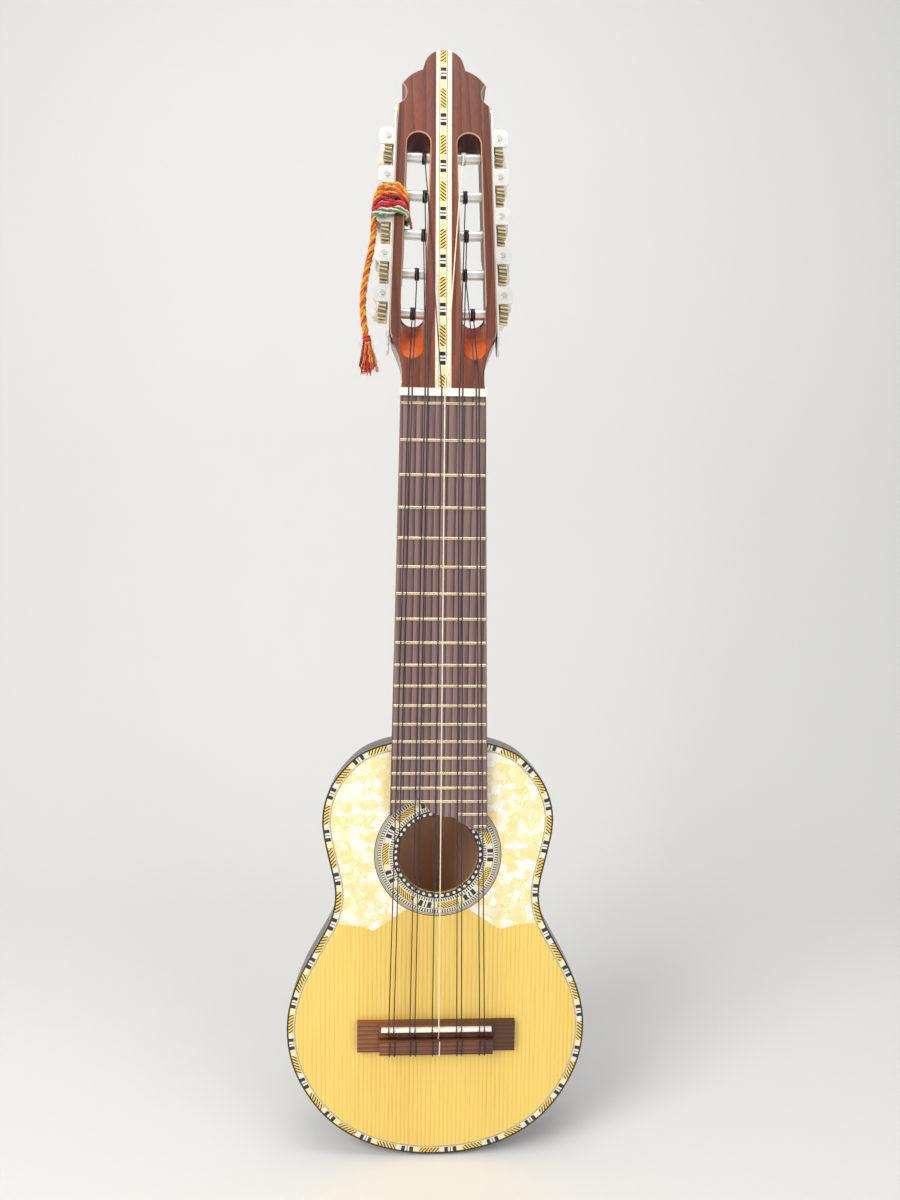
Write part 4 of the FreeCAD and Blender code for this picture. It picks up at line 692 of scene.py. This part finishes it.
class Strands:
    """many thin round strands gathered in one mesh, each with its own colour in the attribute 'tone'"""

    def __init__(self, seed):
        self.v, self.f, self.c, self.k = [], [], [], 0
        self.r = random.Random(seed)

    def add(self, P, rad, col, sides=6, taper=(1.0, 1.0), closed=False):
        P = np.asarray(P, float)
        T, N, B = frames(P, closed=closed)
        n = len(P)
        R = np.interp(np.linspace(0, 1, n), [0, 0.08, 0.92, 1], [taper[0], 1, 1, taper[1]]) * rad
        a = np.linspace(0, 2 * math.pi, sides, endpoint=False)
        ring = P[:, None, :] + R[:, None, None] * (np.cos(a)[None, :, None] * N[:, None, :] + np.sin(a)[None, :, None] * B[:, None, :])
        b = self.k
        self.v.append(ring.reshape(-1, 3))
        for i in range(n if closed else n - 1):
            j = (i + 1) % n
            for q in range(sides):
                w = (q + 1) % sides
                self.f.append((b + i * sides + q, b + i * sides + w, b + j * sides + w, b + j * sides + q))
        if not closed:
            self.f.append(tuple(b + q for q in reversed(range(sides))))
            self.f.append(tuple(b + (n - 1) * sides + q for q in range(sides)))
        self.c += [col] * (n * sides)
        self.k += n * sides

    def yarn(self, P, rad, col, plies=3, pitch=4.2, sides=5, ends=(1.0, 1.0)):
        """a strand that is itself plies twisted together"""
        P, s = resample(P, rad * 0.8)
        T, N, B = frames(P)
        ph = self.r.uniform(0, 6.28)
        for j in range(plies):
            a = ph + 2 * math.pi * (s / (pitch * MM) + j / plies)
            o = 0.50 * rad
            Q = P + o * (np.cos(a)[:, None] * N + np.sin(a)[:, None] * B)
            sh = self.r.uniform(0.86, 1.1)
            self.add(Q, rad * 0.52, tuple(min(1.0, c * sh) for c in col), sides, ends)

    def fuzz(self, P, spread, count, length, col, rad=0.045):
        """short stray fibres standing off a line"""
        P = np.asarray(P, float)
        T, N, B = frames(P)
        for _ in range(count):
            i = self.r.randrange(1, len(P) - 1)
            a = self.r.uniform(0, 6.28)
            out = math.cos(a) * N[i] + math.sin(a) * B[i]
            st = P[i] + out * spread * MM * 0.8
            ln = self.r.uniform(0.4, 1.0) * length * MM
            d = out * self.r.uniform(0.3, 1.0) + T[i] * self.r.uniform(-1, 1) + np.array([self.r.uniform(-.4, .4) for _ in range(3)])
            d /= np.linalg.norm(d)
            e = np.array([self.r.uniform(-.5, .5) for _ in range(3)])
            pts = [st + d * ln * t + e * ln * 0.5 * t * t for t in (0, 0.33, 0.66, 1.0)]
            c = col(self.r) if callable(col) else col
            self.add(pts, rad * MM, c, 3, (1.0, 0.3))

    def build(self, name, nt, body="root"):
        me = bpy.data.meshes.new(name)
        me.from_pydata(np.vstack(self.v).tolist(), [], self.f)
        ca = me.color_attributes.new("tone", "FLOAT_COLOR", "POINT")
        ca.data.foreach_set("color", [x for c in self.c for x in (*c, 1.0)])
        me.polygons.foreach_set("use_smooth", [True] * len(me.polygons))
        me.materials.append(nt.mat)
        me.validate()
        o = bpy.data.objects.new(name, me)
        scene.collection.objects.link(o)
        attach(o, body)
        return o


def wool():
    m = NT("Wool")
    a = m.n("ShaderNodeVertexColor")
    a.layer_name = "tone"
    f = m.noise(m.mapped((2600, 2600, 900)), 1.0, 3, 0.6)
    g = m.noise(m.mapped((380, 380, 380)), 1.0, 3, 0.6)
    c = m.mix(0.7, a.outputs["Color"], m.ramp(f, [(0.25, (0.62, 0.58, 0.56)), (0.7, (1.12, 1.1, 1.08))]), "MULTIPLY")
    c = m.mix(0.5, c, m.ramp(g, [(0.3, (0.74, 0.7, 0.68)), (0.7, (1, 1, 1))]), "MULTIPLY")
    m.link(c, m.b.inputs["Base Color"])
    m.rough(f, 0.78, 0.95)
    m.bump(f, 0.5, 0.0003)
    m.set(Sheen_Weight=0.35, Sheen_Roughness=0.5, Specular_IOR_Level=0.15)
    return m


WOOL = wool()
YEL, ORA, RED, PNK, GRN, WHT, DRD = srgb(242, 178, 46), srgb(232, 96, 32), srgb(206, 30, 44), srgb(238, 92, 118), srgb(70, 150, 84), srgb(240, 228, 214), srgb(120, 18, 34)
PUR = srgb(74, 26, 62)
YARN = [(-40.5, 25.0, 103.0), (-40.6, 24.6, 94.0), (-42.1, 24.0, 83.2), (-44.9, 23.3, 70.5), (-46.9, 22.6, 57.0), (-47.0, 22.1, 44.5), (-44.9, 21.8, 33.0)]
LINE = spline_line("yarn_line", YARN)
line, ls = resample(LINE, 0.4 * MM)
T_, N_, B_ = frames(line)
S = Strands(11)
tones = [YEL, YEL, ORA, YEL, YEL, ORA, YEL, ORA, YEL]
for ply in range(3):                       # three plies, each of three yarns, laid round one another
    for y in range(3):
        a1 = 2 * math.pi * (ls / (17.0 * MM) + ply / 3)
        a2 = 2 * math.pi * (ls / (9.0 * MM) + y / 3) + ply
        off = 1.05 * MM * (np.cos(a1)[:, None] * N_ + np.sin(a1)[:, None] * B_) + 0.55 * MM * (np.cos(a2)[:, None] * N_ + np.sin(a2)[:, None] * B_)
        S.yarn(line + off, 0.58 * MM, tones[(ply * 3 + y) % 9], 3, 3.4, 5)
S.fuzz(line, 2.0, 240, 1.1, lambda r: r.choice([YEL, YEL, ORA, PNK]))
braid = S.build("yarn_braid", WOOL)
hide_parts("yarn_cord")

# the band of yarn round the headstock's left rail
XO = 30.9 - (109.0 - 45) * math.tan(math.atan((30.9 - 28.05) / 112.6))
W = Strands(23)
rr = random.Random(5)


def rounded(pts, rad, n=7):
    """closed polygon with its corners rounded, in the head frame"""
    out = []
    m_ = len(pts)
    for i in range(m_):
        p0, p1, p2 = (np.array(pts[(i + d) % m_], float) for d in (-1, 0, 1))
        a, b = p0 - p1, p2 - p1
        la, lb = np.linalg.norm(a), np.linalg.norm(b)
        r = min(rad, la * 0.45, lb * 0.45)
        s_, e_ = p1 + a / la * r, p1 + b / lb * r
        for t in np.linspace(0, 1, n):
            out.append((1 - t) ** 2 * s_ + 2 * t * (1 - t) * p1 + t * t * e_)
    out.append(out[0])
    return out


LOOPS = 11
for i in range(LOOPS):
    f = i / (LOOPS - 1)
    uf = 122.6 - 17.4 * f + rr.uniform(-0.5, 0.5)             # along the front, crest end first
    uo = 112.3 - 7.6 * f                                   # outside, gathered
    ui = 114.2 - 10.4 * f
    ub = 112.9 - 1.5 * f
    wf = 1.25 + (0.9 if i % 2 else 0.0) + rr.uniform(0, 0.35)
    xi = -XO + 8.15 + rr.uniform(-0.35, 0.35)
    xq = -XO - 11.9 + rr.uniform(-0.5, 0.5)
    loop = [(-XO - 8.4, uf - 2.0 + rr.uniform(-.4, .4), wf), (-XO + 3.0, uf + rr.uniform(-.3, .3), wf + 0.25), (xi, ui + 0.5 * (uf - ui) * 0.6, wf * 0.6),
            (xi, ui, -8.0), (xi, 0.5 * (ui + ub), -17.0), (xi - 0.6, ub, -21.6 - 0.4 * (i % 3)), (-XO - 6.0, ub, -21.8 - 0.4 * (i % 3)), (xq, 0.5 * (ub + uo), -20.8), (xq, uo, -10.0), (xq + 0.4, uo + 0.25 * (uf - uo), -2.0)]
    P = [tuple(head(*q)) for q in rounded(loop, 3.0)]
    col = [YEL, ORA, YEL, ORA, RED, RED, PNK, RED, WHT, GRN, WHT][i]
    for y in range(2):
        Q, s = resample(P, 0.4 * MM)
        T2, N2, B2 = frames(Q)
        a = 2 * math.pi * (s / s[-1] * round(s[-1] / (11 * MM)) + y / 2)
        W.yarn(Q + 0.55 * MM * (np.cos(a)[:, None] * N2 + np.sin(a)[:, None] * B2), 0.62 * MM, col if y == 0 or i in (4, 7) else [YEL, YEL, RED, YEL, ORA, DRD, RED, ORA, RED, WHT, GRN][i], 3, 3.4, 5)
    W.fuzz(P[::3], 1.0, 26, 1.2, col)
# the loose orange-red end in the slot
tail = [tuple(head(*q)) for q in ((-XO + 8.0, 113.0, -4.0), (-XO + 9.0, 108.0, -6.5), (-XO + 10.6, 101.5, -8.0), (-XO + 11.0, 95.5, -10.0))]
TL = spline_line("tail_line", [(a * 1000, b * 1000, c * 1000) for a, b, c in tail])
W.yarn(TL, 0.85 * MM, ORA, 3, 4.0, 5)
band = W.build("yarn_band", WOOL)
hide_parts("yarn_wrap")

# knot and frayed tassel at the far end
K = Strands(31)
end, tdir = line[-1], T_[-1]
for j in range(4):
    t = np.linspace(0, 2 * math.pi * 1.0, 26)
    c0 = end - tdir * (0.2 - 1.25 * j) * MM
    P = c0 + 2.1 * MM * (np.cos(t)[:, None] * N_[-1] + np.sin(t)[:, None] * B_[-1]) + np.outer((t / 6.28) * 1.25 * MM, tdir)
    K.yarn(P, 0.62 * MM, [RED, ORA, RED, YEL][j], 3, 3.4, 5)
axis = np.array([0.10, -0.02, -1.0]); axis /= np.linalg.norm(axis)
ex = np.cross(axis, (0, 1, 0)); ex /= np.linalg.norm(ex); ey = np.cross(axis, ex)
for j in range(64):
    a = K.r.uniform(0, 6.28)
    q = math.sqrt(K.r.uniform(0, 1))
    ln = K.r.uniform(0.72, 1.0) * 22.6 * MM
    w0, w1 = 1.6 * q * MM, 6.1 * q * MM
    cx = q * math.cos(a)
    bend = K.r.uniform(-1, 1) * 1.1 * MM
    pts = []
    for t in np.linspace(0, 1, 9):
        rad_ = w0 + (w1 - w0) * (t ** 1.3)
        a_ = a + K.r.uniform(-0.12, 0.12) + 0.5 * t
        pts.append(end + axis * (ln * t) + rad_ * (math.cos(a_) * ex + math.sin(a_) * ey) + bend * math.sin(3.2 * t) * ex * t)
    K.yarn(pts, K.r.uniform(0.36, 0.5) * MM, K.r.choice([PUR, PUR, DRD, RED] if cx < -0.4 else [YEL, YEL, RED, ORA] if cx < 0.0 else [RED, PNK, RED, ORA] if cx < 0.45 else [YEL, PNK, RED]), 2, 2.6, 4, (1.0, 0.5))
mid = [end + axis * (22 * MM * t) for t in np.linspace(0.1, 0.95, 24)]
K.fuzz(mid, 4.5, 260, 2.2, lambda r: r.choice([RED, PNK, YEL, ORA]))
tassel = K.build("yarn_fringe", WOOL)
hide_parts("yarn_tassel")

# ------------------------------------------------------------------ floor, backdrop, light
def plain(name, col, rough=0.8):
    m = NT(name)
    f = m.noise(m.mapped((5, 5, 5)), 1.0, 3, 0.5)
    m.link(m.ramp(f, [(0.2, tuple(c * 0.985 for c in col)), (0.8, col)]), m.b.inputs["Base Color"])
    m.set(Roughness=rough, Specular_IOR_Level=0.2)
    return m


def sheetmesh(name, pts, nt):
    me = bpy.data.meshes.new(name)
    me.from_pydata(pts, [], [tuple(range(i * 2, i * 2 + 2)) + (i * 2 + 3, i * 2 + 2) for i in range(len(pts) // 2 - 1)])
    me.polygons.foreach_set("use_smooth", [True] * len(me.polygons))
    me.materials.append(nt.mat)
    o = bpy.data.objects.new(name, me)
    scene.collection.objects.link(o)
    return o


ZF = -0.4660
prof = [(-3.0, ZF), (0.35, ZF)] + [(0.35 + 0.5 * math.sin(a), ZF + 0.5 - 0.5 * math.cos(a)) for a in np.linspace(0.1, math.pi / 2, 14)] + [(0.85, 3.0)]
sheetmesh("studio_sweep", [(x, y, z) for y, z in prof for x in (-4.0, 4.0)], plain("Backdrop", srgb(224, 223, 220)))


def area(name, loc, target, size, power, col=(1, 1, 1)):
    l = bpy.data.lights.new(name, "AREA")
    l.shape = "RECTANGLE"
    l.size, l.size_y = size
    l.energy = power
    l.color = col
    o = bpy.data.objects.new(name, l)
    o.location = loc
    o.rotation_euler = (Vector(target) - Vector(loc)).to_track_quat("-Z", "Y").to_euler()
    scene.collection.objects.link(o)
    return o


area("Key", (-0.85, -0.9, 0.55), (0, 0, -0.15), (0.7, 0.9), 16.6, (1.0, 0.98, 0.95))
area("Fill", (0.95, -1.0, 0.1), (0, 0, -0.15), (0.9, 1.2), 7.0, (0.96, 0.98, 1.0))
area("Top", (0.0, -0.25, 1.1), (0, 0, -0.1), (0.9, 0.6), 7.0)
wd = bpy.data.worlds.new("World")
scene.world = wd
wd.use_nodes = True
wd.node_tree.nodes["Background"].inputs["Color"].default_value = (0.9, 0.92, 0.95, 1)
wd.node_tree.nodes["Background"].inputs["Strength"].default_value = 0.42
scene.view_settings.view_transform = "Standard"
scene.view_settings.look = "None"
scene.view_settings.exposure = 0.0
